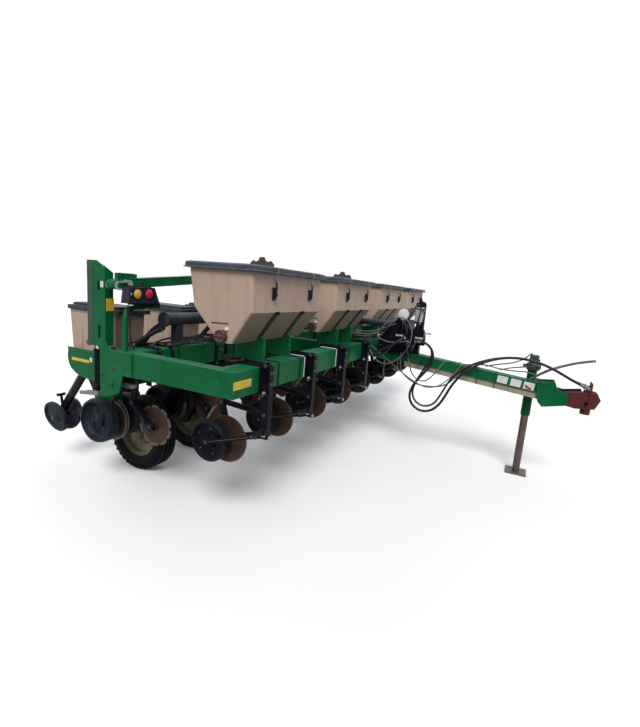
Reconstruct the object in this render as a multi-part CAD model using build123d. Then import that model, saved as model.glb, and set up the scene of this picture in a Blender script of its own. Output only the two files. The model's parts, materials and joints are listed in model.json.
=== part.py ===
from build123d import *
import os
from math import atan2, cos, degrees, pi, radians, sin, sqrt, tan

# Trailed eight-row seed drill with four fertiliser tanks, standing raised on its wheels and its jack.
# Millimetres, +Z up, -Y towards the tractor, +X the machine's left hand side.
# Shapes are drawn from the front toolbar: x from the machine's middle, y back from the bar's front face,
# z up from the bar's top. write() then moves them so that the origin lies on the ground under the middle.

ROWS = 8
ROW_PITCH = 700
BAR_LENGTH = ROWS * ROW_PITCH
BAR = 178                      # side of the square toolbars
BAR_TOP = 1300                 # top of the toolbars over the ground, raised for transport
FRONT_FACE = 13                # y of the front toolbar's front face in the finished part
REAR_BAR = 950                 # front face of the rear toolbar
BEAM_WIDTH = 110               # width of the fore-and-aft beams
PLATE = 12
PIN_GAP = 0.3                  # radial gap round every pin that something turns on

HALF = BAR_LENGTH / 2
ROW_X = [(row - (ROWS - 1) / 2) * ROW_PITCH for row in range(ROWS)]
SIDES = (-1, 1)

# Fertiliser tanks: one over each pair of rows
TANK_X = [-2100, -700, 700, 2100]
TANK_HALF = 517
TANK_WALL = 8
TANK_SECTION = [(20, 680), (15, 380), (180, 150), (310, 150), (526, 380), (570, 680)]   # (y, z)
TANK_LEAN = [(-TANK_HALF, 680), (-TANK_HALF + 8, 380), (-TANK_HALF + 20, 150),
             (TANK_HALF - 20, 150), (TANK_HALF - 8, 380), (TANK_HALF, 680)]         # (x, z)
LID_DEPTH = (-16, 596)
LID_HEIGHT = (656, 698)
LID_HALF = 542
LID_SKIRT = 22                 # thickness of the lid's rim
LID_WALL = 6
TANK_HINGE = (608, 644)        # (y, z) of the lids' hinge pins
TANK_HINGE_X = 350
KNUCKLE_R = 9
TANK_PIN_R = 5
LATCH_X = (-260, 300)
CRADLE_X = 195                 # cradle plates either side of a tank's middle

# Ground wheels: (x of the wheel, side on which its arm runs)
WHEELS = [(-2100, 1), (-1400, -1), (1400, 1), (2100, -1)]
TYRE_R = 358
TYRE_HALF = 97
RIM_R = 213
ROCKSHAFT = (1134, -258)       # (y, z) of the shaft that carries the wheel arms
ROCKSHAFT_END = 2690
ROCKSHAFT_R = 50
STUB_R = 24                    # the rockshaft's ends, which turn in the masts
STUB_END = 2818
HANGER_X = (-2640, -2240, 0, 2240, 2640)
AXLE = (1580, TYRE_R - BAR_TOP)
WHEEL_GUSSET = [(1084, -290), (1150, -560), (1240, -690), (1560, -960), (1600, -920), (1300, -420), (1184, -240)]

# Masts at both ends
MAST_FRONT = 1186
MAST_BOX_REAR = 1284           # rear wall of the mast's closed front part
MAST_REAR = 1378
MAST_WIDTH = 60                # inside the outer web
MAST_TOP = 654
CYLINDER = (-2758, 1332)       # (x, y) of the right hand cylinder's axis
CYLINDER_EYE = -330            # z of the barrel's eye on the lever
CYLINDER_PIN = 310             # z of the rod's pin in the mast
CYLINDER_PIN_R = 12
MAST_SLOTS = [(75, 175), (437, 503)]       # z ranges of the openings in the web
MARKER_PIVOT = (-2795, 1105, 490)
MARKER_PIN_R = 16
MARKER_RISE = 0.09             # rise of the folded marker arm in each mm towards the middle
MARKER_ARM_END = -1172
MARKER_DISC = (-1108, 957, 669)            # centre of the disc
MARKER_DISC_R = 190
MARKER_AXLE_R = 15

# Row units, drawn about a row's middle
GAUGE = (1574, -698)
GAUGE_R = 197
COULTER = (1050, -670)
COULTER_R = 175
COULTER_PIN_R = 14
EAR = [(1138, 14), (1218, -10), (1250, -120), (1250, -372), (1196, -372), (1196, -200), (1138, -186)]
CLOSER = (2262, -825)
CLOSER_R = 152
CLOSER_X = 70                  # x of a closing wheel's middle from the row's
CLOSER_HALF = 24
CLOSER_HANDLE = (28, 200)      # (y, z) of the T handle from the wheels' centre
METER = (1610, -225, 105)      # (y, z, radius) of the seed meter's casing
SEED_DISC = (1560, -720, 185)  # (y, z, radius)
HOPPER_TOP = (146, 1345, 1903, 255)        # (half width, front, back, z)
HOPPER_FOOT = (134, 1358, 1890, -100)
HOPPER_HINGE = (1325, 228)                 # (y, z) of the hopper lids' hinge pins
HOPPER_HINGE_X = 80
HOPPER_PIN_R = 4
HOPPER_WALL = 5

# Fertiliser openers under the front toolbar
OPENER = (265, -590)
OPENER_R = 182
OPENER_OFFSET = -50            # x of the disc from the row's middle
OPENER_WHEEL = (358, -602)     # (y, z) of the depth wheel outside the disc
OPENER_WHEEL_R = 160
OPENER_SHAFT = (-43, -470)     # (y, z) of the shaft through the shank that carries the depth wheel's arm
OPENER_ARM_X = (-178, -165)
OPENER_PIN_R = 16
WHEEL_PIN_R = 14

# Air and hydraulics
MANIFOLD = (1030, 228, 52)     # (y, z, radius) of the air pipe
MANIFOLD_END = 2396
MANIFOLD_FLANGE = (20, 62)     # length and radius of its end flanges
MANIFOLD_LEGS = (-2240, -700, 700, 2240)
FAN_HALF = 150
FAN_OUTLINE = [(-115, -46), (-118, 150), (-290, 278), (-450, 283), (-510, -83)]            # (y, z)
CANISTER = (-535, 57)          # (y, radius)

# Drawbar: falls towards the tractor by DRAWBAR_FALL mm in each mm
DRAWBAR_FALL = 0.094
DRAWBAR_END = -1930
DRAWBAR_HALF = 75
DRAWBAR_HEIGHT = 105
LINER = (-430, -1880)          # y of both ends of the pale tube under the drawbar
JACK = (150, -1800)
JACK_TOP = 40
HITCH_PIN = (-2330, 16)        # (y, radius) of the upright hitch pin bore
RACK_Y = -2338                 # rear face of the plate that the hose couplers are parked against
COUPLER_R = 19

# Hoses: radius and route points (x, y, z), from the valve block over the drawbar to the rack at the hitch
HOSES = {
    "hose_outer": (14, [(-215, -590, 80), (-215, -657, 80), (-214, -718, 53), (-213, -763, 3),
                        (-212, -784, -61), (-210, -778, -158), (-208, -710, -262), (-208, -636, -358), (-206, -582, -462),
                        (-204, -564, -576), (-202, -620, -674), (-198, -724, -720), (-196, -834, -690),
                        (-194, -912, -606), (-192, -962, -502), (-186, -1004, -394), (-178, -1056, -296),
                        (-168, -1124, -206), (-156, -1208, -130), (-142, -1306, -66), (-128, -1414, -16),
                        (-114, -1530, 16), (-100, -1650, 26), (-88, -1772, 16), (-78, -1890, -12),
                        (-68, -2000, -54), (-60, -2100, -104), (-53, -2188, -146), (-48, -2274, -180)]),
    "hose_inner": (11, [(-165, -590, 80), (-165, -646, 80), (-165, -698, 58), (-164, -737, 18),
                        (-164, -757, -34), (-162, -752, -114), (-160, -708, -196), (-158, -662, -286), (-156, -622, -374),
                        (-154, -592, -464), (-152, -588, -540), (-151, -614, -605), (-150, -668, -650),
                        (-149, -736, -665), (-148, -803, -646), (-147, -857, -601), (-146, -888, -540),
                        (-146, -922, -464), (-142, -958, -376), (-138, -1000, -290), (-131, -1058, -216),
                        (-122, -1130, -152), (-110, -1216, -96), (-97, -1312, -50), (-84, -1416, -12),
                        (-70, -1530, 12), (-56, -1650, 18), (-42, -1772, 8), (-28, -1890, -18),
                        (-10, -2000, -60), (12, -2100, -110), (32, -2188, -151), (48, -2274, -183)]),
}
HOSE_START_X = (-215, -165)
HOSE_START_Y = -590
HOSE_START_Z = 80


def block(x, y, z):
    """A box between two values on each axis."""
    size = (x[1] - x[0], y[1] - y[0], z[1] - z[0])
    return Pos((x[0] + x[1]) / 2, (y[0] + y[1]) / 2, (z[0] + z[1]) / 2) * Box(*size)


def plate(x, outline):
    """A plate square to X, between two x values, cut to an outline of (y, z) points."""
    face = Face(Wire.make_polygon([(x[0], y, z) for y, z in outline]))
    return extrude(face, amount=x[1] - x[0], dir=(1, 0, 0))


def plate_y(y, outline):
    """A plate square to Y, cut to an outline of (x, z) points."""
    face = Face(Wire.make_polygon([(x, y[0], z) for x, z in outline]))
    return extrude(face, amount=y[1] - y[0], dir=(0, 1, 0))


def rod_x(x, y, z, radius):
    return Pos((x[0] + x[1]) / 2, y, z) * Rot(0, 90, 0) * Cylinder(radius, x[1] - x[0])


def rod_y(x, y, z, radius):
    return Pos(x, (y[0] + y[1]) / 2, z) * Rot(90, 0, 0) * Cylinder(radius, y[1] - y[0])


def rod_z(x, y, z, radius):
    return Pos(x, y, (z[0] + z[1]) / 2) * Cylinder(radius, z[1] - z[0])


def turned_x(y, z, profile):
    """A solid of revolution about the X axis through (y, z), from a profile of (x, radius) points."""
    face = Face(Wire.make_polygon([(x, y + radius, z) for x, radius in profile]))
    return revolve(face, axis=Axis((0, y, z), (1, 0, 0)))


def bar_between(a, b, width, height):
    """A straight bar with a rectangular section between two points in a plane of constant x."""
    length = sqrt((b[1] - a[1]) ** 2 + (b[2] - a[2]) ** 2)
    slope = degrees(atan2(b[2] - a[2], b[1] - a[1]))
    middle = Pos((a[0] + b[0]) / 2, (a[1] + b[1]) / 2, (a[2] + b[2]) / 2)
    return middle * Rot(slope, 0, 0) * Box(width, length, height)


def loft_between(low, high):
    """A straight-sided solid between two level rectangles, each (half width, front, back, z)."""
    faces = []
    for half, front, back, z in (low, high):
        corners = [(-half, front, z), (half, front, z), (half, back, z), (-half, back, z)]
        faces.append(Face(Wire.make_polygon(corners)))
    return loft(faces, ruled=True)


def bend_radii(points):
    """Radii of a cord's bends: 0.45 of the shorter run, over the tangent of half the turn."""
    radii = []
    for before, at, after in zip(points, points[1:], points[2:]):
        first = Vector(*at) - Vector(*before)
        second = Vector(*after) - Vector(*at)
        turn = radians(first.get_angle(second))
        radii.append(0.45 * min(first.length, second.length) / tan(turn / 2))
    return radii


def round_tube(name, points, radius):
    """A round tube along straight runs joined by tangent arcs; prints its tightest bend and its length."""
    radii = bend_radii(points)
    path = FilletPolyline(*points, radius=radii)
    start = Plane(origin=path @ 0, z_dir=path % 0)
    tube = sweep(start * Circle(radius), path=path)
    share = tube.volume / (pi * radius ** 2 * path.length)
    print(f"{name}: length {path.length:.0f}, tightest bend {min(radii):.0f}, "
          f"{min(radii) / (2 * radius):.1f} diameters, volume over section times length {share:.4f}")
    return tube


def write(node, *shapes):
    """Moves the node's solids to the finished part's frame and writes them as one STEP file."""
    solids = [solid for shape in shapes for solid in shape.solids()]
    placed = [Pos(0, FRONT_FACE, BAR_TOP) * solid for solid in solids]
    export_step(Compound(placed), f"parts/{node}.step")


def at_x(x, *shapes):
    return [Pos(x, 0, 0) * shape for shape in shapes]


def both_sides(shape):
    """The shape and its mirror image on the other side of the machine."""
    return [shape, mirror(shape, about=Plane.YZ)]


# ---------------------------------------------------------------- frame

def toolbars():
    """Both toolbars, the rear one with the hangers that carry the rockshaft."""
    front = block((-HALF, HALF), (0, BAR), (-BAR, 0))
    back = REAR_BAR + BAR
    rear = block((-HALF, HALF), (REAR_BAR, back), (-BAR, 0))
    y, z = ROCKSHAFT
    outline = [(back - 90, -BAR), (back, -BAR), (y + 70, z + 20), (y + 70, z - 40), (y + 30, z - 72),
               (y - 40, z - 72), (y - 75, z - 30)]
    for x in HANGER_X:
        rear += plate((x - PLATE, x + PLATE), outline)
    return front, rear - rod_x((-HALF, HALF), y, z, ROCKSHAFT_R + PIN_GAP)


def side_beams():
    beam = block((-HALF, -HALF + BEAM_WIDTH), (BAR, REAR_BAR), (-BAR, 0))
    middle = block((-ROW_PITCH - BEAM_WIDTH / 2, -ROW_PITCH + BEAM_WIDTH / 2), (BAR, REAR_BAR), (-BAR, 0))
    return both_sides(beam) + both_sides(middle)


def mast():
    """Right hand mast: outer web with its foot, closed front part and the pins that it carries."""
    outer = (-HALF - PLATE, -HALF)
    across = (-HALF, -HALF + MAST_WIDTH)
    y, z = ROCKSHAFT
    foot = REAR_BAR - 40
    outline = [(foot, -BAR), (foot, 0), (MAST_FRONT - 86, 0), (MAST_FRONT - 21, 18), (MAST_FRONT, 60),
               (MAST_FRONT, 608), (MAST_BOX_REAR, MAST_TOP), (MAST_REAR, MAST_TOP), (MAST_REAR, 14),
               (1250, 14), (1250, z - 87), (y + 95, z - 98), (y + 29, z - 108), (y - 89, z - 60), (y - 114, z + 18),
               (y - 124, -BAR)]
    web = plate(outer, outline)
    inner = plate((across[1] - PLATE, across[1]),
                  [(REAR_BAR + BAR, -BAR), (REAR_BAR + BAR, 0), (MAST_FRONT, 30), (MAST_FRONT, 572),
                   (MAST_BOX_REAR, 620), (MAST_BOX_REAR, -110)])
    front = plate_y((MAST_FRONT, MAST_FRONT + PLATE),
                    [(across[0], 0), (across[0], 608), (across[1], 570), (across[1], 0)])
    rear = block(across, (MAST_BOX_REAR - PLATE, MAST_BOX_REAR), (0, 620))
    cover = plate(across, [(MAST_FRONT, 558), (MAST_FRONT, 570), (MAST_BOX_REAR, 620), (MAST_BOX_REAR, 608)])
    lip = block((-HALF, -HALF + 20), (MAST_REAR - 8, MAST_REAR), (14, MAST_TOP))
    shape = web + inner + front + rear + cover + lip
    shape -= rod_x((-HALF - 50, -HALF + 50), y, z, STUB_R + PIN_GAP)
    for low, high in MAST_SLOTS:
        shape -= block((-HALF - 50, -HALF), (1240, 1268), (low, high))
    shape += rod_x((-HALF, CYLINDER[0] + 30), CYLINDER[1], CYLINDER_PIN, CYLINDER_PIN_R)
    px, py, pz = MARKER_PIVOT
    return shape + rod_y(px, (py - 62, MAST_FRONT), pz, MARKER_PIN_R)


# ---------------------------------------------------------------- fertiliser tanks

def inset(section, wall):
    """The section's outline moved inwards by the wall, open at the top."""
    top = section[0][1] + 1
    (y0, z0), (y1, z1), (y2, z2), (y3, z3), (y4, z4), (y5, z5) = section
    return [(y0 + wall, top), (y1 + wall, z1 + wall / 3), (y2 + wall / 2, z2 + wall),
            (y3 - wall / 2, z3 + wall), (y4 - wall, z4 + wall / 3), (y5 - wall, top)]


def tank_form():
    """The tank's outer form: a V bottom, end walls that lean in towards the foot, rounded corners."""
    form = plate((-TANK_HALF, TANK_HALF), TANK_SECTION) & plate_y((-20, 600), TANK_LEAN)
    corners = [edge for edge in form.edges() if abs(edge.center().X) > TANK_HALF - 30
               and edge.length > 200 and edge.bounding_box().size.Z > 150]
    return fillet(corners, 22)


def tank():
    """Hollow moulded tank, open at the top, with two pairs of hinge lugs and their pins behind its rim."""
    inside = plate((-TANK_HALF, TANK_HALF), inset(TANK_SECTION, TANK_WALL))
    inside &= plate_y((-20, 600), inset(TANK_LEAN, TANK_WALL))
    shape = tank_form()
    y, z = TANK_HINGE
    for middle in (-TANK_HINGE_X, TANK_HINGE_X):
        for x in (middle - 16, middle + 16):
            shape += block((x - 4, x + 4), (550, y), (z - KNUCKLE_R, z + 6))
            shape += rod_x((x - 4, x + 4), y, z, KNUCKLE_R)
        shape += rod_x((middle - 16, middle + 16), y, z, TANK_PIN_R)
    return shape - inside


def tank_lid():
    """Pan-shaped lid that drops over the tank's rim, with two hinge knuckles behind."""
    outer = block((-LID_HALF, LID_HALF), LID_DEPTH, LID_HEIGHT)
    upright = outer.edges().filter_by(Axis.Z)
    outer = fillet(upright, 30)
    outer = fillet(outer.faces().sort_by(Axis.Z)[-1].edges(), 12)
    inner = block((-LID_HALF + LID_SKIRT, LID_HALF - LID_SKIRT),
                  (LID_DEPTH[0] + LID_SKIRT, LID_DEPTH[1] - LID_SKIRT), (LID_HEIGHT[0] - 1, LID_HEIGHT[1] - LID_WALL))
    lid = outer - inner
    y, z = TANK_HINGE
    for x in (-TANK_HINGE_X, TANK_HINGE_X):
        across = (x - 11, x + 11)
        lid += block(across, (LID_DEPTH[1] - 4, y + 4), (z, z + 32)) + rod_x(across, y, z, KNUCKLE_R)
    return lid - rod_x((-LID_HALF, LID_HALF), y, z, TANK_PIN_R + PIN_GAP)


def tank_outlets():
    """Round drain caps low on each tank's end walls."""
    form = tank_form()
    caps = []
    for side in SIDES:
        span = sorted((side * (TANK_HALF - 40), side * (TANK_HALF + 12)))
        caps += [rod_x(span, 262, 198, 45) - form]
    return [Pos(x, 0, 0) * cap for x in TANK_X for cap in caps]


def cradles():
    outline = [(112, 0), (112, 165), (150, 189), (180, 150), (310, 150), (340, 178), (340, 0)]
    plates = []
    for x in TANK_X:
        for offset in (-CRADLE_X, CRADLE_X):
            plates += [plate((x + offset - 8, x + offset + 8), outline)]
    return plates


def tank_straps():
    """Rubber straps down each tank's front slope, beside the cradle plates."""
    outline = [(18, 382), (9, 376), (144, 188), (153, 194)]
    form = tank_form()
    straps = [plate((offset - 25, offset + 25), outline) - form for offset in (-CRADLE_X, CRADLE_X)]
    return [Pos(x, 0, 0) * strap for x in TANK_X for strap in straps]


def lid_latches():
    """Rubber pull latches on each tank's front wall."""
    form = tank_form()
    latches = [block((offset - 12, offset + 12), (-2, 22), (470, 560)) - form for offset in LATCH_X]
    return [Pos(x, 0, 0) * latch for x in TANK_X for latch in latches]


# ---------------------------------------------------------------- fertiliser openers

def opener_shank():
    """Clamp, upright shank, trailing arms and stub axles of one fertiliser opener and its depth wheel."""
    front = block((-60, 60), (-16, 0), (-200, 24))
    back = block((-60, 60), (BAR, BAR + 16), (-200, 24))
    shank = block((-28, 28), (-70, -16), (-520, 10))
    bolts = Part()
    for x in (-42, 42):
        for z in (12, -190):
            bolts += rod_y(x, (-34, BAR + 34), z, 9)
    shape = front + back + shank + bolts
    y, z = OPENER
    wheel_y, wheel_z = OPENER_WHEEL
    shape += bar_between((0, -60, -500), (0, y, z), 30, 50)
    shape += bar_between((-15, 345, -322), (-15, y, z), 22, 44)
    shape += Pos(0, 151, -336) * Rot(94.1, 0, 0) * Cylinder(22, 389)
    shape += rod_x((-28, 15), 345, -322, 30)
    shape += rod_x((OPENER_OFFSET - 20, 15), y, z, OPENER_PIN_R)
    outer, inner = OPENER_ARM_X
    middle = (outer + inner) / 2
    shape += rod_x((outer, 0), *OPENER_SHAFT, 18)
    shape += bar_between((middle, *OPENER_SHAFT), (middle, wheel_y, wheel_z), inner - outer, 30)
    shape += rod_x((outer, inner), wheel_y, wheel_z, 26)
    return shape + rod_x((outer, -95), wheel_y, wheel_z, WHEEL_PIN_R)


def opener_disc():
    disc = rod_x((-4, 4), OPENER[0], OPENER[1], OPENER_R)
    hub = rod_x((-16, 16), OPENER[0], OPENER[1], 42)
    bore = rod_x((-30, 30), OPENER[0], OPENER[1], OPENER_PIN_R + PIN_GAP)
    return disc + hub - bore


def opener_wheel():
    """Dished depth wheel outside the disc; its hub turns on a stub axle of its own."""
    bore = WHEEL_PIN_R + PIN_GAP
    profile = [(-92, bore), (-92, 50), (-108, 60), (-116, 140), (-92, 146), (-92, OPENER_WHEEL_R),
               (-146, OPENER_WHEEL_R), (-158, 150), (-152, 132), (-134, 120), (-128, 60), (-146, 48),
               (-146, bore)]
    return turned_x(OPENER_WHEEL[0], OPENER_WHEEL[1], profile)


# ---------------------------------------------------------------- row units

def row_head():
    """Head plate strapped to the rear toolbar, its ears, and the arm and stub axle of the coulter."""
    back = REAR_BAR + BAR
    shape = block((-110, 110), (back, back + 20), (-186, 24))
    for side in SIDES:
        across = sorted((side * 60, side * 84))
        shape += block(across, (REAR_BAR - 16, back + 20), (0, 14))
        shape += block(across, (REAR_BAR - 16, REAR_BAR), (-200, 14))
        shape += block(across, (REAR_BAR - 16, back + 20), (-200, -186))
        shape += plate(sorted((side * 84, side * 96)), EAR)
    y, z = COULTER
    shape += block((-96, -34), (1204, 1246), (-372, -330))
    shape += bar_between((-50, 1226, -345), (-50, 1250, -500), 32, 46)
    shape += bar_between((-50, 1256, -488), (-50, y, z), 32, 50)
    return shape + rod_x((-66, -28), y, z, 38) + rod_x((-66, 14), y, z, COULTER_PIN_R)


def parallel_arms():
    """Four arms of one row unit's parallel linkage."""
    front_y = REAR_BAR + BAR + 95
    arms = []
    for side in SIDES:
        for z_front, z_back in ((-150, -170), (-290, -310)):
            x = side * 72
            arms += [bar_between((x, front_y, z_front), (x, 1485, z_back), 24, 34)]
    return arms


def row_frame():
    """Side plates, hopper tray and gauge wheel arms of one row unit."""
    outline = [(1450, -114), (1905, -114), (1905, -300), (1790, -380), (1690, -560),
               (1660, -745), (1530, -745), (1505, -420), (1450, -350)]
    shape = Part()
    for side in SIDES:
        shape += plate(sorted((side * 50, side * 60)), outline)
    tray = block((-150, 132), (1300, 1905), (-114, -100))
    spacer = rod_x((-55, 55), 1860, -250, 22)
    neck = rod_x((-55, 55), 1560, -400, 22)
    shape += tray + spacer + neck
    for side in SIDES:
        arm = bar_between((side * 68, GAUGE[0], GAUGE[1] + 260), (side * 68, GAUGE[0], GAUGE[1]), 16, 50)
        axle = rod_x(sorted((side * 60, side * 190)), GAUGE[0], GAUGE[1], 14)
        shape += arm + axle
    return shape


def hopper_shield():
    """Green side panel under a seed hopper."""
    outline = [(1300, -92), (1925, -92), (1925, -200), (1895, -270), (1800, -325), (1680, -345), (1300, -345)]
    return plate((-162, -150), outline)


def seed_meter():
    y, z, radius = METER
    return rod_x((-44, 44), y, z, radius) + block((-30, 30), (y - 50, y + 50), (z, -114))


def seed_hopper():
    """Hollow seed hopper with the lugs and pins of its lid's hinge on the front."""
    shape = loft_between(HOPPER_FOOT, HOPPER_TOP)
    half, front, back, z = HOPPER_FOOT
    wall = HOPPER_WALL
    foot = (half - wall, front + wall, back - wall, z + wall)
    half, front, back, z = HOPPER_TOP
    top = (half - wall, front + wall, back - wall, z + 2)
    y, z = HOPPER_HINGE
    for middle in (-HOPPER_HINGE_X, HOPPER_HINGE_X):
        for x in (middle - 16, middle + 16):
            shape += block((x - 4, x + 4), (y, front + 4), (z - KNUCKLE_R, z + 6))
            shape += rod_x((x - 4, x + 4), y, z, KNUCKLE_R)
        shape += rod_x((middle - 16, middle + 16), y, z, HOPPER_PIN_R)
    return shape - loft_between(foot, top)


def hopper_lid():
    """Lid with a raised middle, hinged along its front edge."""
    half, front, back, rim = HOPPER_TOP
    lid = block((-half - 12, half + 12), (front - 55, back + 18), (rim - 14, rim + 22))
    lid += block((-half + 16, half - 16), (front - 15, back - 15), (rim + 22, rim + 42))
    lid -= block((-half - 6, half + 6), (front - 8, back + 8), (rim - 16, rim + 16))
    y, z = HOPPER_HINGE
    for x in (-HOPPER_HINGE_X, HOPPER_HINGE_X):
        across = (x - 11, x + 11)
        lid += block(across, (y - 4, y + 4), (z, rim)) + rod_x(across, y, z, KNUCKLE_R)
    return lid - rod_x((-half, half), y, z, HOPPER_PIN_R + PIN_GAP)


def seed_discs():
    """Pair of thin opener discs set in a V, each with its hub."""
    y, z, radius = SEED_DISC
    discs = []
    for side in SIDES:
        disc = Cylinder(radius, 4)
        place = Pos(side * 24, y, z) * Rot(0, 90, 0) * Rot(side * 4, 0, 0)
        hub = rod_x(sorted((side * 22, side * 50)), y, z, 36)
        discs += [place * disc + hub]
    return discs


def gauge_wheel(side):
    """Dished depth wheel with a rubber rim; its hub turns on the stub axle."""
    rim = [(78, 40), (92, 40), (92, 150), (80, 168), (80, 192), (92, GAUGE_R), (150, GAUGE_R), (176, 188),
           (182, 168), (150, 160), (122, 140), (118, 60), (150, 52), (150, 14.3), (78, 14.3)]
    profile = [(side * x, radius) for x, radius in rim]
    return turned_x(GAUGE[0], GAUGE[1], profile)


def coulter():
    """Flat disc with notches round its edge."""
    disc = rod_x((-6, 6), COULTER[0], COULTER[1], COULTER_R)
    hub = rod_x((-22, 22), COULTER[0], COULTER[1], 45)
    notches = Part()
    for notch in range(10):
        angle = 2 * pi * notch / 10
        y = COULTER[0] + (COULTER_R + 8) * cos(angle)
        z = COULTER[1] + (COULTER_R + 8) * sin(angle)
        notches += rod_x((-10, 10), y, z, 24)
    return disc + hub - notches - rod_x((-40, 40), COULTER[0], COULTER[1], COULTER_PIN_R + PIN_GAP)


def closer_place(side):
    """Where a closing wheel stands, and how it leans."""
    return Pos(side * CLOSER_X, CLOSER[0], CLOSER[1]) * Rot(0, side * 13, 0)


def closing_arm():
    """Arm behind the row unit, with the closing wheels' axles and the T handle of its spring."""
    pivot = rod_x((-24, 24), 1860, -250, 40)
    arm = bar_between((0, 1880, -275), (0, CLOSER[0], CLOSER[1] + 60), 40, 60)
    foot = block((-22, 22), (CLOSER[0] - 25, CLOSER[0] + 25), (CLOSER[1] - 25, CLOSER[1] + 90))
    handle = (0, CLOSER[0] + CLOSER_HANDLE[0], CLOSER[1] + CLOSER_HANDLE[1])
    lever = bar_between((0, CLOSER[0] + 6, CLOSER[1] + 70), handle, 14, 24)
    grip = rod_x((-38, 38), handle[1], handle[2], 12)
    shape = pivot + arm + foot + lever + grip
    for side in SIDES:
        shape += closer_place(side) * rod_x(sorted((-side * CLOSER_HALF, -side * 54)), 0, 0, 12)
    return shape - rod_x((-60, 60), 1860, -250, 22)


def closing_wheels():
    """Pair of narrow wheels set in a V behind the opener."""
    pair = []
    for side in SIDES:
        half, top = CLOSER_HALF, CLOSER_R
        profile = [(-half, 0), (-half, 52), (-10, 64), (-10, 118), (-half, 126), (-half, top - 12),
                   (-half + 10, top), (half - 10, top), (half, top - 12), (half, 126), (10, 118), (10, 64),
                   (half, 52), (half, 0)]
        wheel = turned_x(0, 0, profile)
        pair += [closer_place(side) * wheel]
    return pair


# ---------------------------------------------------------------- air and hydraulics

def air_manifold():
    """Air pipe over the rear toolbar on its legs, with the duct that feeds it."""
    y, z, radius = MANIFOLD
    thick, wide = MANIFOLD_FLANGE
    end, inner = MANIFOLD_END, MANIFOLD_END - thick
    shape = turned_x(y, z, [(-end, 0), (-end, wide), (-inner, wide), (-inner, radius),
                            (inner, radius), (inner, wide), (end, wide), (end, 0)])
    for x in MANIFOLD_LEGS:
        shape += block((x - 40, x + 40), (y - 30, y + 30), (0, z))
    duct = rod_y(0, (-250, y - 20), z, radius - 14) - plate((-FAN_HALF, FAN_HALF), FAN_OUTLINE)
    return shape + duct


def air_hose(side):
    """Hose from the manifold back and down to a row's seed meter; it leaves the manifold on one side, clear of
    its end flange."""
    y, z, radius = MANIFOLD
    points = [(100, 1050, 205), (50, 1110, 150), (20, 1165, 80), (-20, 1200, 0), (-10, 1215, -90),
              (0, 1270, -180), (0, 1380, -215), (0, 1520, METER[1])]
    hose = round_tube("air hose", [(side * px, py, pz) for px, py, pz in points], 22)
    flange = rod_x(sorted((side * 50, side * 78)), y, z, MANIFOLD_FLANGE[1])
    return hose - rod_x((-160, 160), y, z, radius) - flange - rod_x((-60, 60), *METER)


def fan():
    """Blower's box with its sloping top, standing over the drawbar's root; the drawbar fits its foot."""
    box = plate((-FAN_HALF, FAN_HALF), FAN_OUTLINE)
    lid = plate((-FAN_HALF - 6, FAN_HALF + 6), [(-296, 278), (-444, 283), (-444, 295), (-296, 290)])
    return box + lid - drawbar()


def valve_block():
    """Valve block on the side of the blower's box, with the fittings of its two hoses."""
    shape = block((-262, -FAN_HALF), (-480, -330), (16, 30))
    shape += block((-250, -FAN_HALF), (-560, -380), (30, 150))
    shape += block((-200, -110), (-636, -520), (105, 215))
    for x in HOSE_START_X:
        shape += rod_y(x, (HOSE_START_Y, -560), HOSE_START_Z, 17)
    return shape


def canister():
    """Upright filter canister with its cap, on a post over the drawbar."""
    y, radius = CANISTER
    low, high = y - 35, y + 15
    foot = plate((-40, 40), [(low, drawbar_top(low)), (high, drawbar_top(high)), (high, 262), (low, 262)])
    return foot + rod_z(0, y, (262, 457), radius) + rod_z(0, y, (457, 506), radius - 9)


# ---------------------------------------------------------------- drawbar

def drawbar_top(y):
    """Height of the drawbar's top face at a place along it."""
    return -35 + DRAWBAR_FALL * y


def drawbar():
    """Green upper tube of the drawbar, its root plates and the clevis plates in front."""
    end = DRAWBAR_END
    outline = [(0, drawbar_top(0)), (0, drawbar_top(0) - DRAWBAR_HEIGHT), (end, drawbar_top(end) - DRAWBAR_HEIGHT),
               (end, drawbar_top(end))]
    shape = plate((-DRAWBAR_HALF, DRAWBAR_HALF), outline)
    cheek = [(0, 10), (0, -BAR), (-320, -215), (-420, -170), (-380, -50)]
    jaw = [(-1850, -192), (-2018, -174), (-2049, -250), (-2140, -262), (-2155, -397), (-1930, -452), (-1880, -400)]
    for side in SIDES:
        shape += plate(sorted((side * 75, side * 87)), cheek)
        shape += plate(sorted((side * 75, side * 91)), jaw)
    return shape + block((-75, 75), (-2040, -1925), (-330, -285))


def drawbar_liner():
    """Pale lower tube strapped under the drawbar."""
    near, far = LINER
    top, low = DRAWBAR_HEIGHT + 1, DRAWBAR_HEIGHT + 66
    outline = [(near, drawbar_top(near) - top), (near, drawbar_top(near) - low),
               (far, drawbar_top(far) - low), (far, drawbar_top(far) - top)]
    return plate((-62, 62), outline)


def jack_sleeve():
    x, y = JACK
    tube = rod_z(x, y, (-620, JACK_TOP - 20), 48) - rod_z(x, y, (-700, JACK_TOP - 40), 40)
    cap = rod_z(x, y, (JACK_TOP - 20, JACK_TOP + 10), 40)
    bracket = block((75, 110), (y - 45, y + 45), (-330, -240)) - rod_z(x, y, (-600, 0), 44)
    return tube + cap + bracket


def jack_leg():
    x, y = JACK
    leg = rod_z(x, y, (-BAR_TOP + 12, -470), 40 - 4 * PIN_GAP)
    foot = block((x - 110, x + 110), (y - 110, y + 110), (-BAR_TOP, -BAR_TOP + 12))
    return leg + foot


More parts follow.
